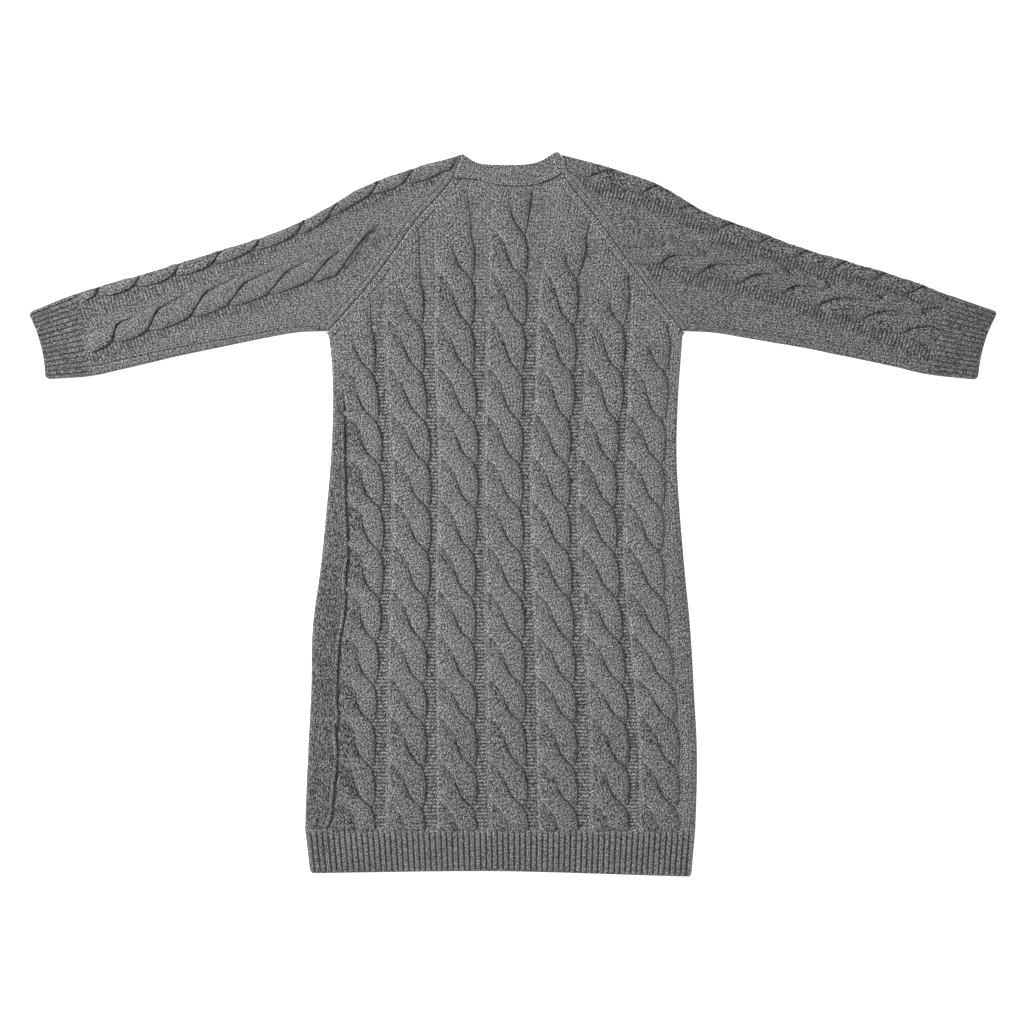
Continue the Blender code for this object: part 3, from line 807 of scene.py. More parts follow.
def beside_groove(one):
    """A strand of the first cable, with its left edge along the groove of the side panel."""
    groove = at_height(GROOVE, "x", one.y) - one.x
    outermost = (one.left < -CABLE_HALF) & (one.y < GROOVE_TOP)
    left = np.where(outermost, groove + 0.3, one.left)
    # Painted shade along the groove, fainter at some heights, and over the outermost strands beside it
    low = outermost * (1 - eased(one.y, 140.0, GROOVE_TOP))
    low = low * (0.35 + 0.65 * eased(one.y, -435.0, -405.0))
    faint = 1 - 0.6 * np.exp(-((one.y + 158.0) / 24.0) ** 2) - 0.15 * (1 - eased(one.y, -260.0, -200.0))
    one = recut(one, left, np.maximum(one.right, left + 1.0), 2.6)
    return one._replace(groove=np.maximum(one.groove * (1 - low), 1.05 * low * faint),
                        shade=one.shade + 0.17 * low)


def pinched_turns(heights):
    """Turns of the back's cables at some heights."""
    return np.interp(heights, PINCHES[::-1], np.arange(len(PINCHES))[::-1])


def back_cables():
    """The back's seven cables, and the rope beside each gutter."""
    made = []
    heights = np.arange(HEM_SEAM - 1.5, 486.0, CABLE_STEP)[::-1]
    turns = pinched_turns(heights)
    for number, name in enumerate(CABLE_NAMES):
        middle = at_height(CABLES, name, heights) - CABLE_HALF - 0.9
        kept = np.maximum(seam_distance(middle - CABLE_HALF, heights),
                          seam_distance(middle + CABLE_HALF, heights)) > -4
        place, height, turn = middle[kept], heights[kept], turns[kept]
        kind = BACK_STRAND
        if number == 0:
            kind = [row._replace(edge=row.edge + 4.5 * np.exp(-((row.turn + 0.8) / 0.18) ** 2))
                    for row in kind]
        strands = cable(kind, place, height, turn, FIRST_CROSSING[number], wale=20.0 * number)
        if number == 0:
            strands = [beside_groove(one) for one in strands]
        if number in FAINT_ABOVE:
            strands = [one._replace(crease=one.crease * np.where(
                (one.right > 23) & (one.y > FAINT_ABOVE[number]), 0.35, 1.0)) for one in strands]
        for one in strands:
            # Painted shade that makes the cables darker towards the hem and towards the neck
            painted_shade = 0.12 * (1 - eased(one.y, -330.0, -230.0)) + 0.10 * eased(one.y, 150.0, 250.0)
            made.append(one._replace(shade=one.shade + painted_shade))
        if number:
            # Each rope has a painted highlight along its left-hand edge, fading out higher up
            low = 1 - eased(height, 150.0, 330.0)
            made.append(strand(place - 25.4, height, -4.6, 4.6, 0.9 * low - 0.9, wale=20.5 * number,
                               wales=0.9, thick=1.6 + 0.9 * low, crease=0.0, groove=-0.25 * low, dark=2.5))
    return made


def side_panels():
    """Panels along both sides of the back, beside its outermost cables."""
    heights = np.arange(HEM_SEAM + 1, 176.0, 6.0)
    groove, cable_edge = at_height(GROOVE, "x", heights), at_height(CABLES, "c7", heights) + 9.0
    left, right = at_height(BODY, "left", heights) + 1.5, at_height(BODY, "right", heights) - 1.5
    top = 1 - eased(heights, 136.0, GROOVE_TOP)
    wales = (groove - left) / 3.9 / 2
    # Painted shade darkens the panels, a little less higher up, and runs along the groove; the strips by the
    # armpits and the right-hand panel are darker by painted shade too
    painted_shade = 0.34 - 0.08 * eased(heights, -130.0, -40.0)
    made = [strand(groove, heights, left - groove, -0.6, -0.4 + 0.6 * top, 0.3 * top, 300.0 + wales, wales,
                   2.0 + 0.6 * top, crease=0.35, shade=painted_shade, dark=7.0),
            strand(groove, heights, -6.4, 0.0, -1.4 + 2.2 * top, 0.2 * top, 290.0, 0.6, 2.8, crease=1.3 * top,
                   shade=0.15, dark=3.0)]
    near_arm = np.arange(243.0, 258.5, 1.2)
    flare = UNDERARM_ROUND * (1 - np.sqrt(1 - np.clip((near_arm - 250.0) / 8.6, 0, 1) ** 2))
    for side in SIDES:
        ends = np.sort(np.stack([-INWARD[side] * flare, np.full(len(flare), 6.0 * INWARD[side])]), axis=0)
        made.append(strand(at_height(BODY, side, near_arm), near_arm, *ends, -1.3, 0.0, 360.0, 1.0, 2.4,
                           crease=0.0, shade=0.12))
    wales = (right - cable_edge) / WALE / 2
    made.append(strand(cable_edge, heights, 0.0, right - cable_edge, -0.6, 0.0, 340.0 - wales, wales, 2.4,
                       crease=0.0, shade=0.12))
    return made


def sleeve_cable(form, rows, turned):
    """A cable along a sleeve. Its rows hold distances from the lower fold, or past the upper one."""
    on_fold = "past" in rows[0]._fields
    steps = column(rows, "step")[::-1]
    along = np.arange(form.reach_at(1.0) + 1, form.reach_at(8.95), CABLE_STEP)[::-1]
    step = form.step_at(along)
    distance = "past" if on_fold else "middle"
    turn, middle = (read_smooth(step, steps, column(rows, name)[::-1]) for name in ("turn", distance))
    if on_fold:
        middle = form.round(step) + middle
    is_left = form.turned < 0
    # Only the left sleeve's cables get a painted highlight, a weak one
    kind, painted_highlight = (LEFT_STRAND, 0.3) if is_left else (RIGHT_STRAND, 0.0)
    made = []
    for one in cable(kind, middle * turned, along, turn, dark=1.5 if on_fold else 2.2, painted_highlight=painted_highlight):
        proud = eased(one.y, form.reach_at(1.0), form.reach_at(1.0) + 16)
        if is_left and not on_fold:
            step = form.step_at(one.y)
            narrow = 0.1 + 0.9 * eased(step, 1.3, 4.3)
            left, right = (np.where(edge < 0, edge * narrow, edge) for edge in (one.left, one.right))
            bulge = LAST_LEAF * np.exp(-((step - LAST_LEAF_STEP) / 0.27) ** 2)
            right = right + bulge * eased(right, 4.0, 20.0)
            one = recut(one, np.minimum(left, right - 0.6), right, 2.2)
            proud = proud * (1 - eased(step, 7.97, 8.10))
        # Near the cuff the strands sink and lose most of the painted shade along their edges
        fine = 0.3 + 0.7 * proud
        made.append(one._replace(lift=one.lift * proud - 0.8 * (1 - proud), tilt=one.tilt * proud,
                                 thick=one.thick * fine, crease=one.crease * fine))
    return made


def front_cables(side):
    """Three plain cables of a front, in the turned-round places of the lower layer."""
    made = []
    inward = INWARD[side]
    for number, (place, top) in enumerate(zip(FRONT_CABLES[side], (380.0, 330.0, 258.0))):
        heights = np.arange(HEM_SEAM + 2, top, 6.0)
        lean = -0.09 * inward * np.maximum(0, heights - 230)
        made += cable(BACK_STRAND, -(place + lean), heights, pinched_turns(heights), size=0.95, base=0.2,
                      thick=1.2, rise=0.3, wale=20.0 * number)
    return made


# ---------------------------------------------------------------- sheets

def rounded_shares(width, plain):
    """Shares across a row, close together at both rounded edges."""
    edge = EDGE_ROUND * (1 - np.cos(ARC)) / width
    return np.concatenate([edge, np.linspace(edge[-1], 1 - edge[-1], plain + 1)[1:-1], 1 - edge[::-1]])


def round_off(level, edge, first=True, last=True):
    """Bends the first and last few points of each row down, or up, to the height of an edge."""
    few = len(ARC)
    if first:
        level[:, :few] = edge + (level[:, :few] - edge) * np.sin(ARC)
    if last:
        level[:, -few:] = edge + (level[:, -few:] - edge) * np.sin(ARC[::-1])


def between(starts, ends, shares):
    """Rows of plan points at some shares of the way from one line to another."""
    shares = np.asarray(shares)[..., None]
    return starts * (1 - shares) + ends * shares


def body_edges(spacing):
    """Left and right edge of the body, from the hem seam to the armpit."""
    heights = np.linspace(HEM_SEAM, BODY[-1].height, int((BODY[-1].height - HEM_SEAM) / spacing) + 1)
    return {side: np.column_stack([at_height(BODY, side, heights), heights]) for side in SIDES}


def back_stitches(x, y):
    """Stitch places of the back's ground, counted from the middle of each gutter, and its purl."""
    middles = [at_height(CABLES, name, y) - CABLE_HALF for name in CABLE_NAMES]
    wale = (x - at_height(BODY, "left", y)) / WALE
    origins = [(middle + after) / 2 for middle, after in zip(middles, middles[1:])]
    for number, (middle, origin) in enumerate(zip(middles, [*origins, at_height(BODY, "right", y)]), 1):
        wale = np.where(x > middle, (x - origin) / WALE + 30.0 * number, wale)
    purl = ((x > middles[0]) & (x < middles[-1])).astype(float)
    near_seam = eased(seam_distance(x, y + 3), 12.0, 18.0)
    high_up = 1 - 0.5 * eased(y, 200.0, 360.0)
    return np.stack([wale, y / COURSE], axis=-1), purl * near_seam * high_up


def make_back(material):
    """Ground of the back, from the hem seam to the neck band."""
    edges = body_edges(6.0)
    body_rows = len(edges["left"])
    places = np.linspace(0, 4, 46)[1:]
    left, right = (np.vstack([edges[side], curve_at(raglan(side), places)]) for side in SIDES)
    drop = np.zeros(len(left))
    drop[-18:] = NECK_DIP * np.linspace(0, 1, 18) ** 1.5
    shares = rounded_shares(560.0, 84)
    plan = between(left[:, None], right[:, None], shares)
    plan[..., 1] -= drop[:, None] * 4 * shares * (1 - shares)
    high = BACK_TOP + swell(plan[..., 0], plan[..., 1])
    round_off(high[:body_rows], BACK_BOTTOM + 0.5)
    plan[0, :, 1] += 0.15
    stitches, purl = back_stitches(plan[..., 0], plan[..., 1])
    return flat_cloth("back", plan, high, BACK_BOTTOM, material, purl, stitches)


def make_front(side, material):
    """Ground of one front, whose outer face is its lower one."""
    outer = body_edges(9.0)[side]
    body_rows = len(outer)
    inward, neck = INWARD[side], V_NECK[side]
    seam = np.column_stack([centre_front(outer[:, 1]) - inward * (BAND_WIDTH + 0.5), outer[:, 1]])
    seam[-1] = (neck[0].seam_x, neck[0].seam_y)
    places = np.linspace(0, 3.92, 30)[1:]
    outer = np.vstack([outer, curve_at(raglan(side), places)]) + (inward * 0.2, 0)
    seam = np.vstack([seam, curve_at(pair(neck, "seam_x", "seam_y"), places)]) - (inward * 0.2, 0)
    shares = rounded_shares(260.0, 30)
    plan = between(outer[:, None], seam[:, None], shares)
    low = np.full(plan.shape[:2], FRONT_FACE)
    round_off(low[:body_rows], FRONT_TOP - 0.5, last=False)
    stitches = np.dstack([(plan[..., 0] - outer[:, :1]) / WALE, plan[..., 1] / COURSE])
    number = np.arange(len(shares))
    purl = np.broadcast_to(eased(number, 8, 9) * (1 - eased(number, 30, 31)), low.shape)
    return flat_cloth("front_" + side, plan, low, FRONT_TOP, material, purl, stitches)


def make_tube(name, form, first, last, rows, material, purl_zones=(), shade=0.0, strength=0.8):
    """Cloth all round a sleeve between two steps, open at its ends."""
    tip = np.array([0, 0.3, 0.65, 1.0, 1.6]) * form.quarter
    outer, inner, stitches, purl = [], [], [], []
    ends = form.plan(np.array([1.0, 9.0]), np.array([0.5, 0.5]))
    axis = (ends[1] - ends[0]) / np.hypot(*(ends[1] - ends[0]))
    for step in np.linspace(first, last, rows):
        way = float(form.round(np.array([step]))[0])
        plain = np.linspace(tip[-1], way - tip[-1], 30)[1:-1]
        top = np.concatenate([tip, plain, way - tip[::-1]])
        runs = np.concatenate([top, -top[-2:0:-1]])
        away = np.abs(runs)
        ring = form.lay(runs * form.turned, np.full(len(runs), form.reach_at(step)), np.zeros(len(runs)))
        slit = form.plan(np.full(len(runs), step), 0.045 + 0.91 * away / way)
        level = np.where(runs >= 0, SLIT_HIGH, SLIT_LOW)
        level[[0, len(top) - 1]] = (SLIT_HIGH + SLIT_LOW) / 2
        course = (ring[:, :2] - ends[0]) @ axis / COURSE + 50
        mark = np.zeros(len(runs))
        for zone in purl_zones:
            low, high = zone(step)
            mark = np.maximum(mark, strength * ((away > low) & (away < high)))
        outer.append(ring)
        inner.append(np.column_stack([slit, level]))
        stitches.append(np.column_stack([away / WALE, course]))
        purl.append(mark)
    return shell(name + "_cloth", *map(np.array, (outer, inner, stitches, purl)), material, True, shade)


def hem_bottom(x):
    """Height of the hem's bottom edge, with its corners rounded off."""
    corner = np.maximum(0, 1 - np.minimum(x - BODY[0].left, BODY[0].right - x) / HEM_CORNER)
    edge = read_smooth(x, column(HEM_EDGE, "x"), column(HEM_EDGE, "y"))
    return edge + HEM_CORNER * corner**2.5 - HEM_LONGER


def make_hem(name, edge_ends, seam_ends, level_out, level_in, rounded, material):
    """Ground of a ribbed strip between its bottom edge and the hem seam."""
    shares = rounded_shares(abs(edge_ends[1] - edge_ends[0]), 40)
    parts = np.linspace(0, 1, 8)[:, None]
    start, end = (first * (1 - parts) + last * parts for first, last in zip(edge_ends, seam_ends))
    x = start * (1 - shares) + end * shares
    y = hem_bottom(x) * (1 - parts) + (HEM_SEAM - 0.15) * parts
    sign = np.sign(level_out - level_in)
    out = level_out + (swell(x, y) if sign > 0 else 0.0 * x)
    near = level_in + sign * 0.5
    round_off(out, near, *rounded)
    out[0] = near + (out[0] - near) * 0.5
    return flat_cloth(name, np.dstack([x, y]), out, level_in, material)


def make_neck_band(material):
    """Ground of the band round the back of the neck."""
    x = np.linspace(NECK_EDGE[0].x + 0.2, NECK_EDGE[-1].x - 0.2, 60)
    plan = between(neck_edge(x), neck_seam(x), np.linspace(0, 1, 6)[:, None])
    high = BACK_TOP + swell(plan[..., 0], plan[..., 1])
    high[0] -= 1.0
    high[-1] -= 0.8
    return flat_cloth("neck_band", plan, high, BACK_BOTTOM, material)


def make_front_band(side, material):
    """Ground of the band along one front and round the V neck, and the line along its middle."""
    inward, neck = INWARD[side], V_NECK[side]
    heights = np.linspace(BODY[0].height + 5, neck[0].free_y, 60)[:-1]
    places = np.linspace(0, 5, 30)
    seam, free = (np.vstack([np.column_stack([centre_front(heights) - inward * away, heights]),
                             curve_at(pair(neck, edge + "_x", edge + "_y"), places)])
                  for away, edge in ((BAND_WIDTH, "seam"), (0.5, "free")))
    seam = seam + (inward * 0.2, 0)
    plan = between(seam[:, None], free[:, None], np.linspace(0, 1, 6))
    low = np.full(plan.shape[:2], BAND_FACE)
    low[:, [0, -1]] += 1.0
    return flat_cloth("front_band_" + side, plan, low, FRONT_TOP, material), (seam[::6] + free[::6]) / 2


# ---------------------------------------------------------------- lines along edges

def hem_edge(x):
    """Plan points of the hem's bottom edge."""
    return np.column_stack([x, hem_bottom(x)])


def hem_seam(x):
    """Plan points of the hem's seam."""
    share = (x - BODY[0].left) / (BODY[0].right - BODY[0].left)
    return np.column_stack([BODY[1].left + share * (BODY[1].right - BODY[1].left), np.full(len(x), HEM_SEAM)])


def neck_edge(x):
    """Plan points of the neck band's free edge."""
    return np.column_stack([x, read_smooth(x, column(NECK_EDGE, "x"), column(NECK_EDGE, "y"))])


def neck_seam(x):
    """Plan points of the neck band's seam."""
    corner = RAGLAN[4]
    share = (x - NECK_EDGE[0].x) / (NECK_EDGE[-1].x - NECK_EDGE[0].x)
    seam_x = corner.left_x + share * (corner.right_x - corner.left_x)
    seam_y = corner.left_y + share * (corner.right_y - corner.left_y) - NECK_DIP * 4 * share * (1 - share)
    return np.column_stack([seam_x, seam_y])


# ---------------------------------------------------------------- ribs

def hem_ribs(start, end, margin=4.0):
    """Ribs of a hem, side by side, from over its edge up to its seam."""
    made = []
    count = int(round((end - start - 2 * margin) / HEM_PITCH))
    for number, x in enumerate(np.linspace(start + margin, end - margin, count + 1)):
        deep = HEM_SEAM - float(hem_bottom(x))
        run = np.concatenate([[-1.0, 0.2, 1.4, 2.6], np.linspace(4.5, deep + 4.0, 13)])
        lift = 0.2 - 0.8 * eased(run, deep - 6.0, deep + 4.0)
        # Painted shade along the ribs' edges, fading towards the seam, and over the ribs near the left-hand
        # groove
        lines = 1 - 0.75 * eased(run, deep - 9.0, deep + 4.0)
        painted_shade = 0.10 * (1 - eased(np.abs(x + 262.0), 6.0, 20.0))
        made.append(strand(x, run, -RIB_HALF, RIB_HALF, lift, wale=3 * number, wales=0.95, shade=painted_shade,
                           thick=0.8 + 1.2 * eased(run, -1.0, 6.0), crease=lines, groove=lines, dark=1.55))
    return made


def cuff_ribs(form, count):
    """Ribs all round a cuff, from its edge to its seam."""
    made = []
    seam = form.reach_at(1.0)
    along = np.concatenate([[0.3, 1.2], np.linspace(3, seam + 1.5, 16)])
    way = form.round(form.step_at(along))
    half = 0.5 * 0.96 * way / count
    lift = 0.3 - 0.9 * eased(along, seam - 4, seam + 1.5) - 0.8 * (1 - eased(along, 0, 3))
    shares = (np.arange(count) + 0.5) / count
    for number, share in enumerate(np.concatenate([shares, -shares])):
        # Painted shade along each rib's left-hand edge
        made.append(strand(share * way * form.turned, along, -half, half, lift, wale=3 * number, wales=0.95,
                           thick=1.5, groove=1.0, dark=1.2))
    return made


def neck_ribs():
    """Ribs across the neck band."""
    made = []
    count = int(round((NECK_EDGE[-1].x - NECK_EDGE[0].x - 6) / NECK_PITCH))
    half = 0.46 * NECK_PITCH
    for number, x in enumerate(np.linspace(NECK_EDGE[0].x + 3, NECK_EDGE[-1].x - 3, count + 1)):
        place = np.array([x])
        width = float(np.hypot(*(neck_seam(place)[0] - neck_edge(place)[0])))
        run = np.concatenate([[-1.4, -0.2, 1.0, 2.2], np.linspace(4, width - 1.0, 7)])
        lift = -0.1 - 0.5 * eased(run, width - 5, width)
        # Faint painted shade along both edges of each rib, and over all of them
        made.append(strand(x, run, -half, half, lift, wale=2 * number, wales=0.5, thick=0.7,
                           crease=0.2, groove=0.2, dark=0.9, shade=0.06))
    return made


def neck_edging(form):
    """Narrow strip of the neck band that lies over its seam."""
    along = np.arange(0.5, form.reach[-1], 4.0)
    lift = 1.6 + 1.2 * (1 - eased(along, 35.0, 75.0))
    # Painted shade along the strip's right-hand edge
    return [strand(0.0, along, -8.0, 0.0, lift, 0.5, 40.0, 0.8, 0.9, crease=0.85, dark=1.5)]


def sunk_ends(form, along):
    """How much the ends of a strip sink into the cloth."""
    end = form.reach[-1]
    return 0.6 * (eased(along, 0, 5) * (1 - eased(along, end - 6, end - 1)) - 1)


def lengthwise_ribs(form, offsets, half, thick, lift):
    """Ribs that run along a strip."""
    along = np.arange(1.0, form.reach[-1] - 1.0, 6.0)
    # Painted shade along each rib's left-hand edge
    return [strand(offset, along, -half, half, lift + sunk_ends(form, along), wale=5 * number, wales=0.95,
                   thick=thick, groove=1.0, dark=1.2) for number, offset in enumerate(offsets)]


def raglan_strips(form, turned):
    """Narrow strips that run beside a raglan seam, two on the sleeve and one on the body."""
    along = np.arange(1.0, form.reach[-1] - 1.0, 5.0)
    over_neck = eased(along, form.reach[-1] - 44, form.reach[-1] - 30)
    made = []
    for row in RAGLAN_STRIPS:
        left, right = sorted((-row.inner * turned, -row.outer * turned))
        # Painted shade along one edge of each strip
        depth = row.depth * (0.6 if turned > 0 else 1.0) * (1 - 0.9 * over_neck)
        lift = row.lift - 0.7 * over_neck + sunk_ends(form, along)
        sides = {"crease": depth} if turned < 0 else {"crease": 0.0, "groove": depth}
        made.append(strand(0.0, along, left, right, lift, 0.0, 5.0 * len(made), 0.9, row.thick, dark=1.7,
                           **sides))
    return made


def underarm_line(form):
    """A fold's soft line along the under edge of a sleeve, with painted shade along one of its edges."""
    along = np.arange(form.reach_at(1.02), form.reach_at(8.6), 6.0)
    rise = 14.0 + 3.0 * np.sin(along / 120.0)
    ends = np.sort(np.stack([0.15 * rise * form.turned, rise * form.turned]), axis=0)
    return strand(0.0, along, *ends, 0.5, wale=500.0, wales=1.2, thick=1.1, dark=2.2,
                  crease=0.3 * max(form.turned, 0.0), groove=max(-form.turned, 0.0))


# ---------------------------------------------------------------- yarn

def shown_by(bench, surface):
    """Ends a material with its surface."""
    bench.node("ShaderNodeOutputMaterial", None, {"Surface": surface})


def new_material(name):
    """An empty material and the bench for its nodes."""
    material = bpy.data.materials.new(name)
    material.use_nodes = True
    return material, Bench(material.node_tree)


def knit_material(name, tones, gap_depth, bump, edge_depth):
    """Heathered wool knitted in legs of yarn, with purl ridges where a piece asks for them."""
    material, bench = new_material(name)

    def named(what, output="Fac"):
        return bench.node("ShaderNodeAttribute", {"attribute_name": what}, None, output)

    def noise(vector, scale, detail):
        return bench.node("ShaderNodeTexNoise", None,
                          {"Vector": vector, "Scale": scale, "Detail": detail}, "Fac")

    def floor(value):
        return bench.math("FLOOR", value)

    def from_middle(value):
        """0 in the middle of each whole step and 1 at its ends."""
        return bench.math("ABSOLUTE", value - 0.5) * 2

    def speckle(x, y, z):
        """A random value for each whole place."""
        return bench.node("ShaderNodeTexWhiteNoise", {"noise_dimensions": "3D"},
                          {"Vector": bench.vector(x, y, z)}, "Value")

    def ply(x, y, z):
        """Fine lines of yarn, stronger than plain noise."""
        return (noise(bench.vector(x, y, z), 1.0, 0.0) - 0.5) * 3.0 + 0.5

    def past(edge, full, most):
        """Rises softly from 0 to its most as an edge value reaches full."""
        return bench.node("ShaderNodeMapRange", {"interpolation_type": "SMOOTHSTEP"},
                          {0: edge, 1: 0.0, 2: full, 3: 0.0, 4: most})

    # The third part of each stitch value is painted shade that darkens the yarn's colour
    across, along, painted_shade = bench.split(named("stitch", "Vector"))
    purl = named("purl")

    wale = floor(across)
    in_wale = across - wale
    side = bench.math("GREATER_THAN", in_wale, 0.5)
    to_edge = from_middle(in_wale)
    slanted = along - to_edge * 0.6
    row = floor(slanted)
    leg = (1 - from_middle(slanted - row)**3 * 0.5) * (1 - to_edge**3 * 0.75)
    leg_tone = speckle(wale * 2 + side, row, 0.5)
    leg_fleck = ply(across * 4.8, slanted * 1.75, painted_shade)

    place = bench.node("ShaderNodeTexCoord", None, None, "Object")
    patch = noise(place, 45.0, 2.0)
    waved = along * 0.75 + to_edge * 0.25 + patch * 0.4
    ridge_row = floor(waved)
    shifted = across * 1.5 + ridge_row * 0.5
    in_dash = from_middle(bench.math("FRACT", shifted))
    ridge = (1 - from_middle(waved - ridge_row)**1.3) * (1 - in_dash**4 * 0.7)
    ridge_tone = speckle(floor(shifted), ridge_row, 7.5)
    ridge_fleck = ply(across * 3.8, waved * 3.3, 9.5) * 0.66 + 0.30

    high = bench.blend(purl, leg, ridge)
    tone = bench.blend(purl, leg_tone, ridge_tone)
    fleck = bench.blend(purl, leg_fleck, ridge_fleck)
    fibre = noise(place, 620.0, 1.0)
    mottle = tone * 0.14 + fleck * 0.72 + fibre * 0.14 + (patch - 0.5) * 0.10
    ramp = {"stops": list(zip((0.15, 0.5, 0.86), tones))}
    yarn = bench.node("ShaderNodeValToRGB", ramp, {"Fac": mottle})
    edge = named("near_edge")
    # Painted shade in the gaps between the legs and between the purl ridges, and along strand edges
    gap = bench.blend(purl, gap_depth, 0.89)
    shade = (1 - gap * (1 - high)) * (1 - past(edge, 0.8, edge_depth))
    # Painted shade from each piece's stitch value, and a painted highlight where the edge value is below zero
    shade = shade * (1 - painted_shade) * (1 + past(edge, -0.8, 0.42))
    colour = bench.node("ShaderNodeMix", {"data_type": "RGBA", "blend_type": "MULTIPLY"},
                        {0: 1.0, 6: yarn, 7: bench.vector(shade, shade, shade)}, 2)
    normal = bench.node("ShaderNodeBump", None,
                        {"Strength": bump, "Distance": 0.0011, "Height": high + fibre * 0.25}, "Normal")
    shown_by(bench, bench.node("ShaderNodeBsdfPrincipled", None, {
        "Base Color": colour, "Roughness": 0.92, "Specular IOR Level": 0.18, "Normal": normal,
        "Sheen Weight": 0.22, "Sheen Roughness": 0.45, "Sheen Tint": (0.80, 0.82, 0.84, 1.0),
    }))
    return material


def plain_material(name, colour, glow):
    """Pale matt surface of the studio."""
    material, bench = new_material(name)
    shown_by(bench, bench.node("ShaderNodeBsdfPrincipled", None, {
        "Base Color": colour, "Roughness": 0.9, "Specular IOR Level": 0.0,
        "Emission Color": (1.0, 1.0, 1.0, 1.0), "Emission Strength": glow,
    }))
    return material


# ---------------------------------------------------------------- putting the cardigan together

def gutters(form, rows, under_cable, under_fold):
    """Zones of purl on a sleeve, below its middle cable and below its upper fold."""
    def below_cable(step):
        middle = float(read_smooth(step, column(rows, "step")[::-1], column(rows, "middle")[::-1]))
        return middle - under_cable, middle

    def below_fold(step):
        way = form.round(np.array([step]))[0]
        return way - under_fold, way

    return below_cable, below_fold


def make_sleeve(side, knit, rib):
    """One sleeve with its cables, and its cuff."""
    form, look, rows = SleeveForm(side), SLEEVE_LOOK[side], SLEEVE_CABLES[side]
    zones = gutters(form, rows, look.under_cable, look.under_fold)
    runs = sleeve_cable(form, rows, form.turned)
    runs += sleeve_cable(form, FOLD_CABLES[side], form.turned)
    runs += sleeve_cable(form, rows, -form.turned)
    runs.append(underarm_line(form))
    # Painted shade darkens the cuff ribs and, by the sleeve's own amount, the whole sleeve
    ribs = shaded(cuff_ribs(form, count=16), CUFF_SHADE)
    return [make_tube("sleeve_" + side, form, 1.0, 9.0, 90, knit, zones, look.shade, look.strength),
            sweep("sleeve_cables_" + side, [(form, shaded(runs, look.shade))], knit, 14),
            make_tube("cuff_" + side, form, 0.0, 1.0, 14, rib),
            sweep("cuff_ribs_" + side, [(form, ribs)], rib, 8)]


def make_front_pieces(side, knit, rib):
    """One front with its cables, its hem and its band."""
    bottom, top = (getattr(row, side) for row in BODY[:2])
    inner = CENTRE_FRONT[0].x - INWARD[side] * (BAND_WIDTH + 1.2)
    hem_form = EdgeForm(hem_edge, hem_seam, UNDER_HEM, upwards=-1, uneven=0.0, roll=1.8)
    ribs = hem_ribs(*sorted((bottom, inner)), margin=3.5)
    made = [make_front(side, knit),
            sweep("front_cables_" + side, [(FrontForm(), front_cables(side))], knit, 10),
            make_hem("hem_front_" + side, (bottom, inner), (top, inner), UNDER_HEM, FRONT_TOP,
                     (True, False), rib),
            sweep("hem_front_ribs_" + side, [(hem_form, ribs)], rib, 8)]
    band, line = make_front_band(side, rib)
    band_form = PathForm(line, BAND_FACE + 0.1, upwards=-1, uneven=0.0)
    ribs = lengthwise_ribs(band_form, BAND_RIBS, half=3.0, thick=1.2, lift=0.0)
    return made + [band, sweep("front_band_ribs_" + side, [(band_form, ribs)], rib, 8)]


def make_raglan(side, knit):
    """The strips beside one raglan seam, on the back and on the front."""
    above = PathForm(raglan(side), BACK_TOP, slants=RAGLAN_SLANTS[side])
    below = PathForm(raglan(side)[:5], FRONT_FACE, upwards=-1, uneven=0.0)
    upper = raglan_strips(above, -INWARD[side])
    lower = lengthwise_ribs(below, (-3.5, 3.5), half=3.3, thick=1.4, lift=0.6)
    return sweep("raglan_" + side, [(above, upper), (below, lower)], knit, 8)


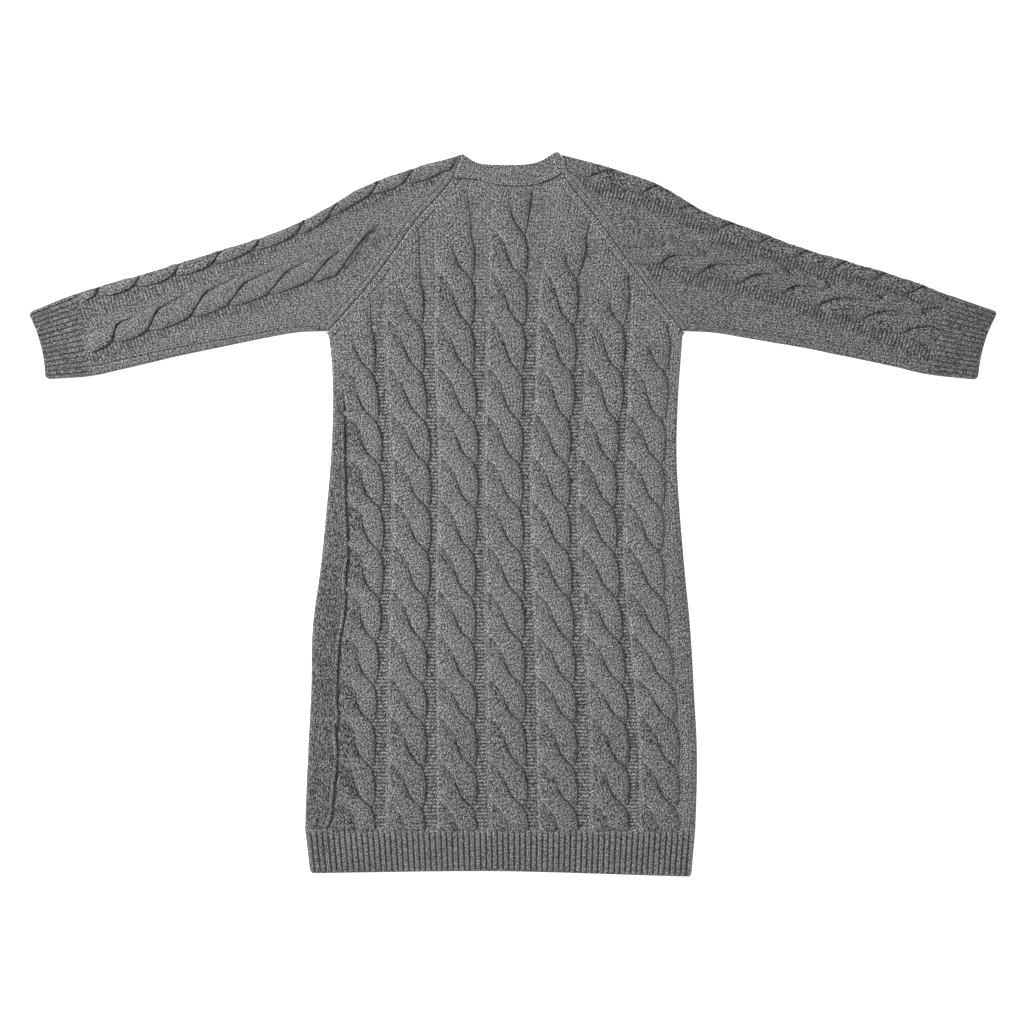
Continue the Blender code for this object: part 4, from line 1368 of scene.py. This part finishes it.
def build():
    """Makes every piece, and says what it rides on and what it stands for."""
    knit = knit_material("cable_knit", CABLE_TONES, gap_depth=0.6, bump=0.5, edge_depth=0.68)
    rib = knit_material("rib_knit", RIB_TONES, gap_depth=0.5, bump=0.7, edge_depth=0.92)
    bottom, top = ((row.left, row.right) for row in BODY[:2])
    hem_form = EdgeForm(hem_edge, hem_seam, BACK_TOP - 0.6)
    neck_form = EdgeForm(neck_edge, neck_seam, BACK_TOP - 0.3)
    sewn = PathForm(pair(NECK_SEAM, "x", "y"), BACK_TOP)
    pieces = [make_back(knit),
              sweep("back_cables", [(BackForm(), back_cables() + side_panels())], knit, 16),
              make_hem("hem_back", bottom, top, BACK_TOP - 0.9, BACK_BOTTOM, (True, True), rib),
              sweep("hem_back_ribs", [(hem_form, hem_ribs(*bottom))], rib, 8),
              make_neck_band(rib),
              sweep("neck_ribs", [(neck_form, neck_ribs()), (sewn, neck_edging(sewn))], rib, 8)]
    for side in SIDES:
        pieces += make_sleeve(side, knit, rib) + make_front_pieces(side, knit, rib)
        pieces.append(make_raglan(side, knit))
    for piece in pieces:
        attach(piece, "root")
        if piece.name.endswith("_cloth"):
            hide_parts(piece.name.removesuffix("_cloth"))
        "rib_knit" if piece.data.materials[0] == rib else "cable_knit"
    return {piece.name: piece for piece in pieces}


def lamp(name, place, size, power):
    """A square soft light that is aimed at the middle of the floor."""
    light = bpy.data.lights.new(name, "AREA")
    light.shape, light.size, light.energy = "SQUARE", size, power
    made = placed(name, light)
    made.location = place
    made.rotation_euler = Vector(place).to_track_quat("Z", "Y").to_euler()


def studio():
    """Pale floor, soft light from the upper left and a camera straight above."""
    mesh = bpy.data.meshes.new("floor")
    corners = [(x * FLOOR_REACH, y * FLOOR_REACH, FLOOR_HEIGHT)
               for x, y in ((-1, -1), (1, -1), (1, 1), (-1, 1))]
    mesh.from_pydata(corners, [], [(0, 1, 2, 3)])
    mesh.materials.append(plain_material("studio_floor", (0.9, 0.9, 0.9, 1.0), glow=0.75))
    placed("floor", mesh)
    lamp("key", (-2.9, 1.1, 2.5), size=1.0, power=125.0)
    lamp("fill", (1.2, -0.8, 2.6), size=2.0, power=12.0)
    world = bpy.data.worlds.new("studio")
    world.use_nodes = True
    background = world.node_tree.nodes["Background"].inputs
    background["Color"].default_value = (1.0, 1.0, 1.0, 1.0)
    background["Strength"].default_value = 0.42
    lens = bpy.data.cameras.new("camera")
    lens.lens, lens.sensor_width = 100.0, 36.0
    camera = placed("camera", lens)
    camera.location = CAMERA_PLACE
    scene = bpy.context.scene
    scene.world, scene.camera = world, camera
    scene.view_settings.view_transform = "Standard"


PIECES = build()
studio()
